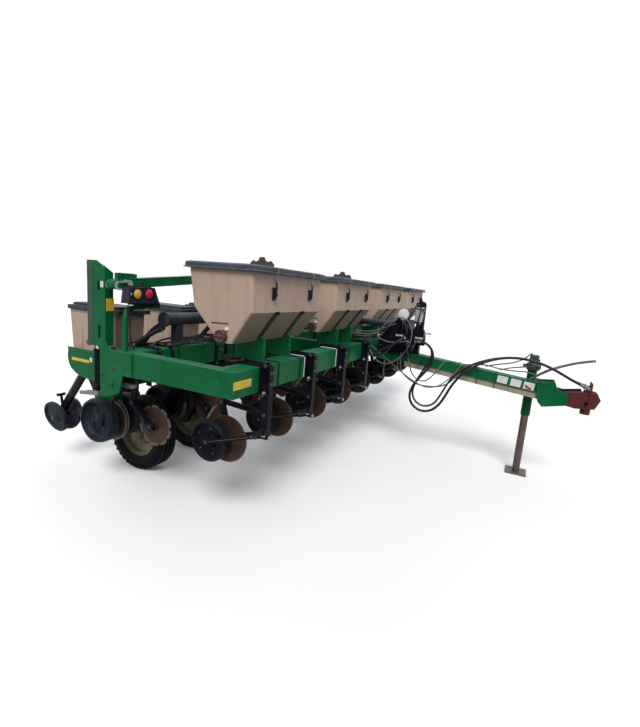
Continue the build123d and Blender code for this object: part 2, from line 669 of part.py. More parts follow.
def hitch_head():
    """Rusty casting with an upright pin bore, held between the drawbar's clevis plates, and the hose rack."""
    y, radius = HITCH_PIN
    outline = [(-2060, -268), (-2160, -262), (-2400, -232), (-2440, -300), (-2400, -400), (-2230, -420),
               (-2100, -400), (-2060, -345)]
    shape = plate((-58, 58), outline) + block((-75, 75), (-2135, -2062), (-385, -285))
    shape += rod_z(0, y, (-470, -225), 46)
    rack = block((-74, 74), (RACK_Y - 12, RACK_Y), (-300, -140)) - rod_z(0, y, (-600, -215), 47)
    rack -= rod_z(0, y, (-220, -130), radius + 10)
    return shape + rack - rod_z(0, y, (-600, -215), radius)


def hose_coupler(name):
    """Coupler on a hose's end, parked against the rack."""
    points = HOSES[name][1]
    direction = (Vector(*points[-1]) - Vector(*points[-2])).normalized()
    start = Plane(origin=Vector(*points[-1]), z_dir=direction)
    body = extrude(start * Circle(COUPLER_R), amount=80)
    body -= block((-100, 200), (RACK_Y - 100, RACK_Y), (-400, 0)) + rod_z(0, HITCH_PIN[0], (-470, -225), 46)
    return body.solids().sort_by(SortBy.VOLUME)[-1]


# ---------------------------------------------------------------- lamps

def lamp_bracket():
    """Bent guard tube with two saddles that carry the right hand lamps."""
    x, y = -2757, 1040
    points = [(x, y, 0), (x, y, 264), (x + 25, y, 316), (x + 134, y, 336), (x + 322, y, 338)]
    shape = round_tube("lamp bracket", points, 19)
    for low in (-2600, -2500):
        shape += block((low - 36, low), (y - 18, y + 5), (338, 360))
    return shape


def lamp_housing():
    outline = [(-2790, 360), (-2775, 480), (-2548, 482), (-2498, 362), (-2498, 360)]
    return plate_y((965, 1045), outline)


# ---------------------------------------------------------------- moving bodies

def rockshaft():
    """Shaft across the machine with the four wheel arms on their gussets, their axles and the cylinder levers."""
    y, z = ROCKSHAFT
    shape = rod_x((-ROCKSHAFT_END, ROCKSHAFT_END), y, z, ROCKSHAFT_R) + rod_x((-STUB_END, STUB_END), y, z, STUB_R)
    for x, side in WHEELS:
        arm_x = x + side * 122
        shape += bar_between((arm_x, y, z), (arm_x, AXLE[0], AXLE[1]), 36, 80)
        shape += plate((arm_x - 6, arm_x + 6), WHEEL_GUSSET)
        shape += rod_x((arm_x - 18, arm_x + 18), AXLE[0], AXLE[1], 55)
        shape += rod_x(sorted((arm_x, x - side * 70)), AXLE[0], AXLE[1], 25)
    for side in SIDES:
        lever_x = -side * CYLINDER[0]
        shape += rod_x((lever_x - 12, lever_x + 12), y, z, 44)
        shape += bar_between((lever_x, y, z), (lever_x, CYLINDER[1], CYLINDER_EYE), 24, 44)
        shape += rod_x((lever_x - 12, lever_x + 12), CYLINDER[1], CYLINDER_EYE, 28)
        shape -= rod_x((lever_x - 40, lever_x + 40), CYLINDER[1], CYLINDER_EYE, 14)
    return shape


def lift_barrel():
    """Barrel of the right hand lift cylinder, with a forked eye either side of the lever."""
    x, y = CYLINDER
    shape = rod_z(x, y, (-285, -20), 36) - rod_z(x, y, (-265, 0), 22)
    for side in SIDES:
        shape += block(sorted((x + side * 18, x + side * 30)), (y - 20, y + 20), (CYLINDER_EYE - 22, -280))
        shape += rod_x(sorted((x + side * 30, x + side * 36)), y, CYLINDER_EYE, 17)
    return shape


def lift_rod():
    """Rod of the right hand lift cylinder; its eye hangs on the mast's pin."""
    x, y = CYLINDER
    eye = block((x - 16, x + 16), (y - 26, y + 26), (CYLINDER_PIN - 26, CYLINDER_PIN + 26))
    return rod_z(x, y, (-60, CYLINDER_PIN - 20), 20) + eye - rod_x((x - 60, x + 60), y, CYLINDER_PIN, CYLINDER_PIN_R)


def tyre():
    """Ribbed implement tyre about x = 0."""
    half, top = TYRE_HALF, TYRE_R
    profile = [(-60, RIM_R), (-74, RIM_R + 12), (-half, RIM_R + 62), (-half + 2, top - 62), (-half + 16, top - 20)]
    ribs = [(-75, -52), (-34, -12), (12, 34), (52, 75)]
    for low, high in ribs:
        profile += [(low, top - 14), (low + 3, top), (high - 3, top), (high, top - 14)]
    profile += [(half - 16, top - 20), (half - 2, top - 62), (half, RIM_R + 62), (74, RIM_R + 12), (60, RIM_R)]
    return turned_x(AXLE[0], AXLE[1], profile)


def rim(side):
    """Dished wheel rim with a hub that turns on the stub axle; its dish faces away from the arm."""
    profile = [(60, RIM_R - 0.5), (-60, RIM_R - 0.5), (-60, RIM_R - 16), (-10, RIM_R - 18), (-4, 120), (-30, 100),
               (-30, 62), (-84, 62), (-84, 0), (-74, 0), (-74, 25.3), (80, 25.3), (80, 62), (6, 62), (6, 100),
               (14, 120), (6, RIM_R - 10), (60, RIM_R - 14)]
    profile = [(side * x, radius) for x, radius in profile]
    return turned_x(AXLE[0], AXLE[1], profile)


def marker_arm():
    """Right hand marker arm, folded in over the machine, with its disc's bracket and stub axle."""
    px, py, pz = MARKER_PIVOT
    shape = rod_y(px, (py - 45, py + 45), pz, 36)
    rise = MARKER_RISE * (MARKER_ARM_END - px)
    shape += plate_y((py - 38, py + 38), [(px + 5, pz - 34), (px + 5, pz + 38), (MARKER_ARM_END, pz + rise + 36),
                                          (MARKER_ARM_END, pz + rise - 36)])
    shape += block((px + 14, px + 186), (py - 16, py + 16), (pz + 30, pz + 84))
    disc_x, disc_y, disc_z = MARKER_DISC
    shape += block((MARKER_ARM_END - 40, MARKER_ARM_END), (disc_y - 24, py + 38), (pz + rise - 20, disc_z + 24))
    shape += rod_x((MARKER_ARM_END - 20, disc_x + 24), disc_y, disc_z, MARKER_AXLE_R)
    return shape - rod_y(px, (py - 90, py + 90), pz, MARKER_PIN_R + PIN_GAP)


def marker_disc():
    """Scalloped disc on the marker arm's stub axle."""
    x, y, z = MARKER_DISC
    shape = rod_x((x - 4, x + 4), y, z, MARKER_DISC_R) + rod_x((x - 20, x + 16), y, z, 45)
    for notch in range(8):
        angle = 2 * pi * (notch + 0.5) / 8
        reach = MARKER_DISC_R + 12
        shape -= rod_x((x - 10, x + 10), y + reach * cos(angle), z + reach * sin(angle), 44)
    return shape - rod_x((x - 60, x + 60), y, z, MARKER_AXLE_R + PIN_GAP)


# ---------------------------------------------------------------- hoses to the tractor

def hoses():
    for name, (radius, points) in HOSES.items():
        write(name, round_tube(name, points, radius))


# ---------------------------------------------------------------- build

def build():
    os.makedirs("parts", exist_ok=True)
    write("toolbars", *toolbars())
    write("side_beams", *side_beams())
    write("masts", *both_sides(mast()))
    for number, x in enumerate(TANK_X, 1):
        write(f"tank_{number}", *at_x(x, tank()))
        write(f"tank_lid_{number}", *at_x(x, tank_lid()))
    write("tank_outlets", *tank_outlets())
    write("tank_cradles", *cradles())
    write("tank_straps", *tank_straps())
    write("lid_latches", *lid_latches())

    row_nodes = {
        "opener_shanks": [opener_shank()],
        "row_heads": [row_head()],
        "parallel_arms": parallel_arms(),
        "row_frames": [row_frame()],
        "hopper_shields": [hopper_shield()],
        "seed_meters": [seed_meter()],
        "seed_hoppers": [seed_hopper()],
        "seed_discs": seed_discs(),
        "closing_arms": [closing_arm()],
        "closing_wheels": closing_wheels(),
        "gauge_wheels": [gauge_wheel(-1), gauge_wheel(1)],
        "coulters": [coulter()],
        "seed_hopper_lids": [hopper_lid()],
    }
    for node, shapes in row_nodes.items():
        write(node, *[Pos(x, 0, 0) * shape for x in ROW_X for shape in shapes])
    write("opener_discs", *[Pos(x + OPENER_OFFSET, 0, 0) * opener_disc() for x in ROW_X])
    write("opener_wheels", *[Pos(x, 0, 0) * opener_wheel() for x in ROW_X])
    hoses_by_side = {side: air_hose(side) for side in SIDES}
    write("air_hoses", *[Pos(x, 0, 0) * hoses_by_side[1 if x < 0 else -1] for x in ROW_X])

    write("air_manifold", air_manifold())
    write("fan", fan())
    write("valve_block", valve_block())
    write("canister", canister())

    write("drawbar", drawbar())
    write("drawbar_liner", drawbar_liner())
    write("jack_sleeve", jack_sleeve())
    write("jack_leg", jack_leg())
    write("hitch_head", hitch_head())
    write("hose_couplers", *[hose_coupler(name) for name in HOSES])
    write("lamp_brackets", *both_sides(lamp_bracket()))
    write("lamp_housings", *both_sides(lamp_housing()))

    write("rockshaft", rockshaft())
    write("lift_barrels", *both_sides(lift_barrel()))
    write("lift_rods", *both_sides(lift_rod()))
    for number, (x, side) in enumerate(WHEELS, 1):
        write(f"tyre_{number}", *at_x(x, tyre()))
        write(f"rim_{number}", *at_x(x, rim(side)))
    for name, copy in (("right", 0), ("left", 1)):
        write(f"marker_arm_{name}", both_sides(marker_arm())[copy])
        write(f"marker_disc_{name}", both_sides(marker_disc())[copy])
    hoses()


build()
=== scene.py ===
import json
import math

import bmesh
import bpy
import numpy as np
from mathutils import Matrix, Vector


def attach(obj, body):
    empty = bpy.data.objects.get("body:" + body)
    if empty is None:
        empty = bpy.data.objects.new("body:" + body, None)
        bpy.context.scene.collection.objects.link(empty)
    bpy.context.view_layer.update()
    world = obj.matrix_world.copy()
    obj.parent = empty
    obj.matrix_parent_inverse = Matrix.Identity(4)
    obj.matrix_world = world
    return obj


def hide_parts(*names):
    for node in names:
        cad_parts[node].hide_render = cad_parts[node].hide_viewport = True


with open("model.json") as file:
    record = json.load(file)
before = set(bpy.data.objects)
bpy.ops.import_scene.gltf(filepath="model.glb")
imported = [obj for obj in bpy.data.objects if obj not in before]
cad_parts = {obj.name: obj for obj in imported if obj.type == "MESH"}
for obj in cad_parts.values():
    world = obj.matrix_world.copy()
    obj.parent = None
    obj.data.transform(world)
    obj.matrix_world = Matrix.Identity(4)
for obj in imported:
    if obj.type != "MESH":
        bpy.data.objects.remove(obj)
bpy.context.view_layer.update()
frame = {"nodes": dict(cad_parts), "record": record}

SCENE = bpy.context.scene
FRAME_SHIFT = np.array((0.0, 13.0, 1300.0))      # from the front toolbar's drawing to the frame, mm
ROWS = (np.arange(8) - 3.5) * 700.0
CREASE = math.radians(35.0)
TANKS = np.array((-2100.0, -700.0, 700.0, 2100.0))
ROCKSHAFT = (1134.0, -258.0)
AXLE = (1580.0, -942.0)
OPENER = (265.0, -590.0)
OPENER_WHEEL = (358.0, -602.0)
OPENER_SHAFT = (-43.0, -470.0)
COULTER = (1050.0, -670.0)
GAUGE = (1574.0, -698.0)
CLOSER = (2262.0, -825.0)
MARKER_PIVOT = (-2795.0, 1105.0, 490.0)
MARKER_DISC = (-1108.0, 957.0, 669.0)
WHEELS = ((-2100.0, 1), (-1400.0, -1), (1400.0, 1), (2100.0, -1))


def metres(points):
    """The drawing's millimetres in the frame's metres: the shift is added, then all is divided by 1000."""
    return (np.asarray(points, float) + FRAME_SHIFT) / 1000.0


# ---------------------------------------------------------------- camera

def look():
    """The camera: its place, its axes as columns (right, up, back) and its lens."""
    data = bpy.data.cameras.new("camera")
    data.sensor_width = 36.0
    data.sensor_fit = "AUTO"
    data.lens = 20.74
    data.clip_end = 200
    camera = bpy.data.objects.new("camera", data)
    SCENE.collection.objects.link(camera)
    right = np.array((0.4322, -0.8983, 0.0795))
    forward = np.array((0.8931, 0.4142, -0.1754))
    right /= np.linalg.norm(right)
    forward -= right * right.dot(forward)
    forward /= np.linalg.norm(forward)
    up = np.cross(right, forward)
    matrix = np.eye(4)
    matrix[:3, 0], matrix[:3, 1], matrix[:3, 2] = right, up, -forward
    matrix[:3, 3] = (-4.952, -1.585, 1.878)
    camera.matrix_world = Matrix(matrix.tolist())
    SCENE.camera = camera


look()
SCENE.view_settings.view_transform = "Standard"


# ---------------------------------------------------------------- finishes

def node(tree, kind, values=None, **settings):
    """A shader node with its settings; a value that is a socket is linked, any other is set."""
    made = tree.nodes.new(kind)
    for key, value in settings.items():
        setattr(made, key, value)
    for key, value in (values or {}).items():
        if isinstance(value, bpy.types.NodeSocket):
            tree.links.new(value, made.inputs[key])
        else:
            made.inputs[key].default_value = value
    return made


def mask(tree, value, low, high, to_low=0.0, to_high=1.0):
    """The value's range low to high, mapped to to_low to to_high and held there outside it."""
    return node(tree, "ShaderNodeMapRange", {0: value, 1: low, 2: high, 3: to_low, 4: to_high}).outputs[0]


def times(tree, a, b, operation="MULTIPLY"):
    return node(tree, "ShaderNodeMath", {0: a, 1: b}, operation=operation).outputs[0]


def blend(tree, share, a, b):
    """Colour a with colour b laid over it by the share."""
    colours = {6: a if isinstance(a, bpy.types.NodeSocket) else (*a, 1), 7: b
               if isinstance(b, bpy.types.NodeSocket) else (*b, 1)}
    return node(tree, "ShaderNodeMix", {0: share, **colours}, data_type="RGBA").outputs[2]


def finish(name, tone, second, broad=2.5, fine=60.0, dust_and_top_light=(0.30, 0.27, 0.22), dust_and_top_light_amount=0.3, bare=None,
           wear=0.5, edge=0.004, streaks=None, streak=0.0, rough=(0.35, 0.6), metal=0.0, relief=0.15,
           grain=220.0, centre=None, rim=None, rings=0.0, coat=0.0, shine=0.15, chips=0.0, painted_shade_below=None):
    """A finish on object coordinates. Two tones drift by broad noise and are flecked by fine noise;
    dark streaks are noise drawn out upright; a dust colour lies where the normal points up and where
    noise lets it, which is dust and, where that colour is lighter than the paint, painted light on the
    top faces; bare material shows where a bevelled normal turns away from the true one, and in chips
    where two noises are both high; faces that look down are darkened towards a tone that is painted
    shade. Round the centre (y, z) a rim colour comes in between two radii, and rings are a sine of the
    radius in the relief."""
    material = bpy.data.materials.new(name)
    material.use_nodes = True
    tree = material.node_tree
    shader = tree.nodes["Principled BSDF"]
    place = node(tree, "ShaderNodeTexCoord").outputs["Object"]
    drift = node(tree, "ShaderNodeTexNoise",
                 {"Vector": place, "Scale": broad, "Detail": 6.0, "Roughness": 0.6}).outputs[0]
    fleck = node(tree, "ShaderNodeTexNoise",
                 {"Vector": place, "Scale": fine, "Detail": 5.0, "Roughness": 0.7}).outputs[0]
    both = times(tree, mask(tree, drift, 0.36, 0.64), mask(tree, fleck, 0.3, 0.7, 0.45, 1.0))
    colour = blend(tree, both, tone, second)
    relief_value = fleck
    if streaks:
        drawn = node(tree, "ShaderNodeMapping", {"Vector": place, "Scale": (14.0, 14.0, 0.9)}).outputs[0]
        run = node(tree, "ShaderNodeTexNoise",
                   {"Vector": drawn, "Scale": 1.6, "Detail": 5.0, "Roughness": 0.62}).outputs[0]
        colour = blend(tree, mask(tree, run, 0.48, 0.74, 0.0, streak), colour, streaks)
    if centre:
        shifted = node(tree, "ShaderNodeMapping", {"Vector": place,
                                                   "Location": (0.0, *(-metres((0, *centre))[1:])),
                                                   "Scale": (0.0, 1.0, 1.0)}).outputs[0]
        radius = node(tree, "ShaderNodeVectorMath", {0: shifted}, operation="LENGTH").outputs["Value"]
        if rim:
            low, high, rim_tone, share = rim
            uneven = mask(tree, fleck, 0.25, 0.75, 0.55, 1.0)
            colour = blend(tree, times(tree, mask(tree, radius, low, high, 0.0, share), uneven), colour,
                           rim_tone)
        if rings:
            wave = times(tree, times(tree, radius, rings), 0.0, "SINE")
            relief_value = times(tree, fleck, mask(tree, wave, -1.0, 1.0, 0.0, 1.6), "ADD")
    normal = node(tree, "ShaderNodeNewGeometry").outputs["Normal"]
    upward = node(tree, "ShaderNodeSeparateXYZ", {0: normal}).outputs[2]
    # Upward faces take the dust colour: dust, and where that colour is lighter than the paint, painted light
    # on the tops.
    on_top_faces = times(tree, mask(tree, upward, 0.1, 0.95), mask(tree, drift, 0.34, 0.6, 0.35, 1.0))
    on_top_faces_flecked = times(tree, on_top_faces, mask(tree, fleck, 0.2, 0.6, 0.5, 1.0))
    film = mask(tree, times(tree, drift, fleck), 0.18, 0.38, 0.0, 0.22)
    dust_and_top_light_share = times(tree, times(tree, on_top_faces_flecked, film, "ADD"), dust_and_top_light_amount)
    # Faces that look down are darkened towards the given tone: painted shade.
    if painted_shade_below:
        colour = blend(tree, times(tree, mask(tree, upward, -0.25, -0.6, 0.0, 0.72),
                                   mask(tree, drift, 0.3, 0.6, 0.6, 1.0)), colour, painted_shade_below)
    colour = blend(tree, dust_and_top_light_share, colour, dust_and_top_light)
    if bare:
        rounded = node(tree, "ShaderNodeBevel", {"Radius": edge}, samples=4).outputs[0]
        facing = node(tree, "ShaderNodeVectorMath", {0: rounded, 1: normal},
                      operation="DOT_PRODUCT").outputs["Value"]
        corner = mask(tree, facing, 0.995, 0.86)
        worn = times(tree, times(tree, corner, mask(tree, fleck, 0.42, 0.6)), wear)
        if chips:
            patch = node(tree, "ShaderNodeTexNoise",
                         {"Vector": place, "Scale": 4.5, "Detail": 7.0, "Roughness": 0.75}).outputs[0]
            knocked = times(tree, mask(tree, patch, 0.62, 0.70, 0.0, chips), mask(tree, fleck, 0.45, 0.62))
            worn = times(tree, worn, knocked, "MAXIMUM")
        colour = blend(tree, worn, colour, bare)
    tree.links.new(colour, shader.inputs["Base Color"])
    tree.links.new(mask(tree, times(tree, fleck, dust_and_top_light_share, "ADD"), 0.3, 0.95, *rough),
                   shader.inputs["Roughness"])
    shader.inputs["Metallic"].default_value = metal
    shader.inputs["Specular IOR Level"].default_value = shine
    shader.inputs["Coat Weight"].default_value = coat
    shader.inputs["Coat Roughness"].default_value = 0.25
    grit = node(tree, "ShaderNodeTexNoise", {"Vector": place, "Scale": grain, "Detail": 3.0}).outputs[0]
    height = times(tree, relief_value, times(tree, grit, 0.5), "ADD")
    bump = node(tree, "ShaderNodeBump",
                {"Height": height, "Strength": relief, "Distance": 0.002}).outputs[0]
    tree.links.new(bump, shader.inputs["Normal"])
    return material


STEEL = (0.42, 0.42, 0.44)
# The green's dust colour is a lighter green on upward faces: painted light on the frame's tops, with some
# dust.
green = finish("green paint", (0.001, 0.098, 0.027), (0.002, 0.136, 0.043), dust_and_top_light=(0.030, 0.18, 0.105),
               dust_and_top_light_amount=0.42, bare=(0.16, 0.27, 0.18), wear=0.5, streaks=(0.003, 0.050, 0.022), streak=0.4,
               rough=(0.28, 0.55), shine=0.1, chips=0.55)
# The tan plastic's downward faces are darkened towards a dark brown: painted shade.
tan = finish("tan plastic", (0.50, 0.372, 0.290), (0.43, 0.315, 0.240), broad=1.8, fine=26.0,
             dust_and_top_light=(0.44, 0.36, 0.29), dust_and_top_light_amount=0.25, streaks=(0.26, 0.18, 0.13), streak=0.28,
             rough=(0.42, 0.68), relief=0.1, bare=(0.20, 0.145, 0.10), wear=0.35, edge=0.008,
             painted_shade_below=(0.17, 0.125, 0.075))
lid_grey = finish("lid plastic", (0.034, 0.040, 0.060), (0.070, 0.078, 0.105), broad=4.0, fine=45.0,
                  dust_and_top_light=(0.23, 0.25, 0.29), dust_and_top_light_amount=0.5, bare=(0.24, 0.26, 0.29), wear=0.7, edge=0.009,
                  rough=(0.45, 0.75), relief=0.25)
hopper_lid_black = finish("hopper lid plastic", (0.020, 0.024, 0.036), (0.045, 0.05, 0.07), broad=5.0,
                          dust_and_top_light=(0.20, 0.23, 0.28), dust_and_top_light_amount=0.45, bare=(0.16, 0.17, 0.19), wear=0.6,
                          rough=(0.35, 0.65))
brown = finish("brown plastic", (0.085, 0.05, 0.036), (0.05, 0.03, 0.024), broad=14.0, dust_and_top_light_amount=0.25,
               rough=(0.4, 0.7), bare=(0.2, 0.15, 0.11), wear=0.5)
black = finish("black paint", (0.002, 0.003, 0.007), (0.006, 0.0065, 0.012), broad=5.0,
               dust_and_top_light=(0.024, 0.023, 0.026), dust_and_top_light_amount=0.35, bare=(0.035, 0.033, 0.035), wear=0.55,
               rough=(0.32, 0.62), streaks=(0.022, 0.016, 0.012), streak=0.3, shine=0.06)
dusty_navy = finish("dusty dark plastic", (0.012, 0.014, 0.024), (0.028, 0.031, 0.046), broad=6.0,
                    dust_and_top_light=(0.16, 0.165, 0.19), dust_and_top_light_amount=0.5, bare=(0.10, 0.10, 0.12), wear=0.5,
                    rough=(0.4, 0.65))
rubber = finish("black rubber", (0.006, 0.008, 0.016), (0.013, 0.016, 0.029), broad=6.0,
                dust_and_top_light=(0.07, 0.068, 0.075), dust_and_top_light_amount=0.3, rough=(0.5, 0.8), bare=(0.055, 0.06, 0.08),
                wear=0.5)
hose_rubber = finish("hose rubber", (0.010, 0.010, 0.012), (0.022, 0.022, 0.026), broad=8.0,
                     dust_and_top_light=(0.12, 0.115, 0.11), dust_and_top_light_amount=0.3, rough=(0.3, 0.55), grain=420.0)
gauge_rubber = finish("depth wheel rubber", (0.008, 0.011, 0.022), (0.017, 0.021, 0.038), broad=6.0,
                      dust_and_top_light=(0.07, 0.072, 0.09), dust_and_top_light_amount=0.35, rough=(0.45, 0.75), centre=GAUGE,
                      rim=(0.148, 0.168, (0.006, 0.007, 0.011), 0.8), rings=260.0, relief=0.3)
closing_rubber = finish("closing wheel rubber", (0.008, 0.010, 0.020), (0.017, 0.020, 0.035), broad=7.0,
                        dust_and_top_light=(0.07, 0.07, 0.085), dust_and_top_light_amount=0.4, rough=(0.45, 0.75), relief=0.3)
opener_plate = finish("opener wheel paint", (0.0015, 0.002, 0.006), (0.004, 0.005, 0.011), broad=7.0,
                      dust_and_top_light=(0.022, 0.022, 0.027), dust_and_top_light_amount=0.3, shine=0.06, bare=(0.06, 0.06, 0.065),
                      wear=0.5, rough=(0.3, 0.6), centre=OPENER_WHEEL,
                      rim=(0.142, 0.150, (0.02, 0.02, 0.025), 0.6), relief=0.25)
rusty_disc = finish("rusty disc", (0.075, 0.034, 0.021), (0.036, 0.018, 0.014), broad=7.0, fine=90.0,
                    dust_and_top_light=(0.22, 0.16, 0.12), dust_and_top_light_amount=0.35, rough=(0.45, 0.75), metal=0.25, centre=OPENER,
                    rim=(0.173, 0.182, (0.2, 0.16, 0.14), 0.6), relief=0.3)
coulter_steel = finish("coulter steel", (0.065, 0.034, 0.026), (0.034, 0.02, 0.018), broad=9.0, fine=90.0,
                       dust_and_top_light=(0.2, 0.15, 0.12), dust_and_top_light_amount=0.3, rough=(0.4, 0.7), metal=0.3, centre=COULTER,
                       rim=(0.150, 0.172, (0.27, 0.21, 0.18), 0.75), relief=0.3)
seed_steel = finish("seed disc steel", (0.09, 0.055, 0.04), (0.05, 0.032, 0.026), broad=9.0, dust_and_top_light_amount=0.3,
                    rough=(0.35, 0.65), metal=0.4, centre=(1560, -720),
                    rim=(0.165, 0.184, (0.4, 0.36, 0.33), 0.8))
marker_steel = finish("marker disc steel", (0.085, 0.065, 0.06), (0.045, 0.035, 0.034), broad=8.0,
                      fine=90.0, dust_and_top_light=(0.2, 0.17, 0.15), dust_and_top_light_amount=0.35, rough=(0.4, 0.7), metal=0.3,
                      bare=(0.3, 0.26, 0.24), wear=0.7)
galvanised = finish("galvanised steel", (0.50, 0.54, 0.54), (0.28, 0.31, 0.31), broad=22.0, fine=120.0,
                    dust_and_top_light=(0.16, 0.16, 0.15), dust_and_top_light_amount=0.3, rough=(0.3, 0.55), metal=0.4,
                    bare=(0.5, 0.52, 0.52), wear=0.5, edge=0.003)
dull_grey = finish("weathered green", (0.030, 0.062, 0.050), (0.055, 0.085, 0.075), broad=5.0,
                   dust_and_top_light=(0.12, 0.14, 0.12), dust_and_top_light_amount=0.3, bare=(0.14, 0.17, 0.15), wear=0.6,
                   streaks=(0.02, 0.03, 0.026), streak=0.5, rough=(0.4, 0.65))
dull_steel = finish("dull bolt steel", (0.075, 0.078, 0.085), (0.035, 0.036, 0.042), broad=30.0,
                    fine=160.0, dust_and_top_light=(0.07, 0.065, 0.06), dust_and_top_light_amount=0.3, rough=(0.4, 0.65), metal=0.5,
                    bare=(0.22, 0.22, 0.23), wear=0.5, edge=0.002)
worn_steel = finish("worn steel", (0.13, 0.10, 0.09), (0.07, 0.05, 0.042), broad=8.0, dust_and_top_light_amount=0.25,
                    rough=(0.3, 0.6), metal=0.7, bare=STEEL, wear=0.7)
chrome = finish("plated rod", (0.55, 0.56, 0.6), (0.42, 0.42, 0.45), broad=9.0, dust_and_top_light_amount=0.12,
                rough=(0.12, 0.3), metal=1.0, relief=0.04)
zinc = finish("zinc plate", (0.22, 0.225, 0.24), (0.10, 0.10, 0.11), broad=30.0, fine=160.0,
              dust_and_top_light=(0.12, 0.11, 0.10), dust_and_top_light_amount=0.3, rough=(0.35, 0.6), metal=0.6, bare=(0.4, 0.4, 0.42),
              wear=0.4, edge=0.002)
bright = finish("bright canister", (0.62, 0.64, 0.70), (0.50, 0.52, 0.58), broad=9.0, dust_and_top_light_amount=0.18,
                rough=(0.28, 0.5), metal=0.35)
pale = finish("pale wheel paint", (0.30, 0.265, 0.185), (0.20, 0.175, 0.125), broad=7.0,
              dust_and_top_light=(0.16, 0.13, 0.10), dust_and_top_light_amount=0.5, bare=(0.1, 0.06, 0.04), wear=0.7,
              streaks=(0.07, 0.045, 0.03), streak=0.6, rough=(0.4, 0.7), centre=AXLE,
              rim=(0.17, 0.215, (0.12, 0.095, 0.07), 0.7))
cream = finish("cream tube paint", (0.40, 0.36, 0.27), (0.29, 0.26, 0.19), broad=4.0,
               dust_and_top_light=(0.30, 0.25, 0.18), dust_and_top_light_amount=0.3, bare=(0.18, 0.12, 0.08), wear=0.6,
               streaks=(0.20, 0.155, 0.10), streak=0.5, rough=(0.35, 0.6))
casting = finish("rusty casting", (0.125, 0.020, 0.020), (0.030, 0.014, 0.018), broad=12.0, fine=70.0,
                 dust_and_top_light=(0.16, 0.09, 0.07), dust_and_top_light_amount=0.4, bare=(0.26, 0.16, 0.13), wear=0.7,
                 rough=(0.45, 0.75), relief=0.5, metal=0.1)
tyre_rubber = finish("tyre rubber", (0.002, 0.0024, 0.004), (0.0055, 0.0056, 0.0075), broad=5.0,
                     dust_and_top_light=(0.03, 0.027, 0.026), dust_and_top_light_amount=0.3, shine=0.08, rough=(0.5, 0.8), relief=0.35,
                     centre=AXLE, rings=330.0, rim=(0.337, 0.356, (0.022, 0.02, 0.019), 0.7),
                     bare=(0.035, 0.032, 0.03), wear=0.6, edge=0.006)
white_plate = finish("white plate", (0.74, 0.75, 0.76), (0.62, 0.63, 0.64), broad=18.0,
                     dust_and_top_light=(0.45, 0.43, 0.40), dust_and_top_light_amount=0.3, rough=(0.4, 0.6), relief=0.05)
yellow_sign = finish("yellow plate", (0.78, 0.50, 0.035), (0.66, 0.40, 0.03), broad=20.0, dust_and_top_light_amount=0.15,
                     rough=(0.3, 0.5), relief=0.04)
reflector = finish("yellow reflector", (0.74, 0.50, 0.02), (0.62, 0.40, 0.015), broad=24.0, dust_and_top_light_amount=0.12,
                   rough=(0.15, 0.35), relief=0.25, grain=480.0, coat=0.5)
amber = finish("amber lens", (0.88, 0.46, 0.09), (0.62, 0.26, 0.03), broad=25.0, dust_and_top_light_amount=0.1,
               rough=(0.1, 0.25), coat=0.8, relief=0.5, grain=300.0)
red = finish("red lens", (0.78, 0.012, 0.06), (0.55, 0.008, 0.03), broad=25.0, dust_and_top_light_amount=0.1,
             rough=(0.1, 0.25), coat=0.8, relief=0.5, grain=300.0)
# Blue for the small dome at the lamp's near end: a painted reflection of the sky on the housing's side.
blue_painted_reflection = finish("bluish lens", (0.10, 0.13, 0.26), (0.06, 0.08, 0.16), broad=25.0, dust_and_top_light_amount=0.1,
                rough=(0.12, 0.3), coat=0.6)
cable_grey = finish("cable sheath", (0.10, 0.10, 0.11), (0.16, 0.16, 0.17), broad=9.0, dust_and_top_light_amount=0.25,
                    rough=(0.35, 0.6), grain=400.0)
seed_tube = finish("pale tube", (0.46, 0.46, 0.44), (0.34, 0.34, 0.33), broad=9.0, dust_and_top_light_amount=0.3,
                   rough=(0.4, 0.65))
red_paint = finish("red paint", (0.34, 0.025, 0.02), (0.2, 0.02, 0.018), broad=16.0, dust_and_top_light_amount=0.2,
                   rough=(0.35, 0.6))
steel_grey = finish("grey steel", (0.23, 0.25, 0.245), (0.15, 0.16, 0.155), broad=8.0, dust_and_top_light_amount=0.3,
                    bare=(0.4, 0.4, 0.4), wear=0.6, rough=(0.35, 0.6), metal=0.4)

BY_SLOT = {"green_paint": green, "tan_plastic": tan, "lid_plastic": lid_grey, "brown_plastic": brown,
           "black_rubber": rubber, "black_paint": black, "worn_steel": worn_steel, "bright_metal": bright,
           "pale_paint": pale, "rusty_casting": casting, "tyre": tyre_rubber}
BY_NODE = {"seed_hopper_lids": hopper_lid_black, "gauge_wheels": gauge_rubber,
           "closing_wheels": closing_rubber, "opener_wheels": opener_plate, "opener_discs": rusty_disc,
           "coulters": coulter_steel, "seed_discs": seed_steel, "marker_disc_right": marker_steel,
           "marker_disc_left": marker_steel, "lift_rods": chrome, "drawbar_liner": cream,
           "hose_couplers": zinc, "air_manifold": dusty_navy, "lamp_housings": dusty_navy}
for part in frame["record"]["subparts"]:
    thing = frame["nodes"][part["node"]]
    thing.data.materials.clear()
    thing.data.materials.append(BY_NODE.get(part["node"], BY_SLOT[part["material_slot"]]))


# ---------------------------------------------------------------- surfaces

def grid_faces(rows, columns, wrap_rows=False):
    """Quads of a grid numbered row by row, whose columns close on themselves, and whose rows may."""
    i = np.arange(rows if wrap_rows else rows - 1)[:, None]
    j = np.arange(columns)[None, :]
    after, below = (j + 1) % columns, (i + 1) % rows
    corners = (i * columns + j, below * columns + j, below * columns + after, i * columns + after)
    return np.stack(np.broadcast_arrays(*corners), -1).reshape(-1, 4)


def unit(vectors):
    return vectors / np.maximum(np.linalg.norm(vectors, axis=-1, keepdims=True), 1e-9)


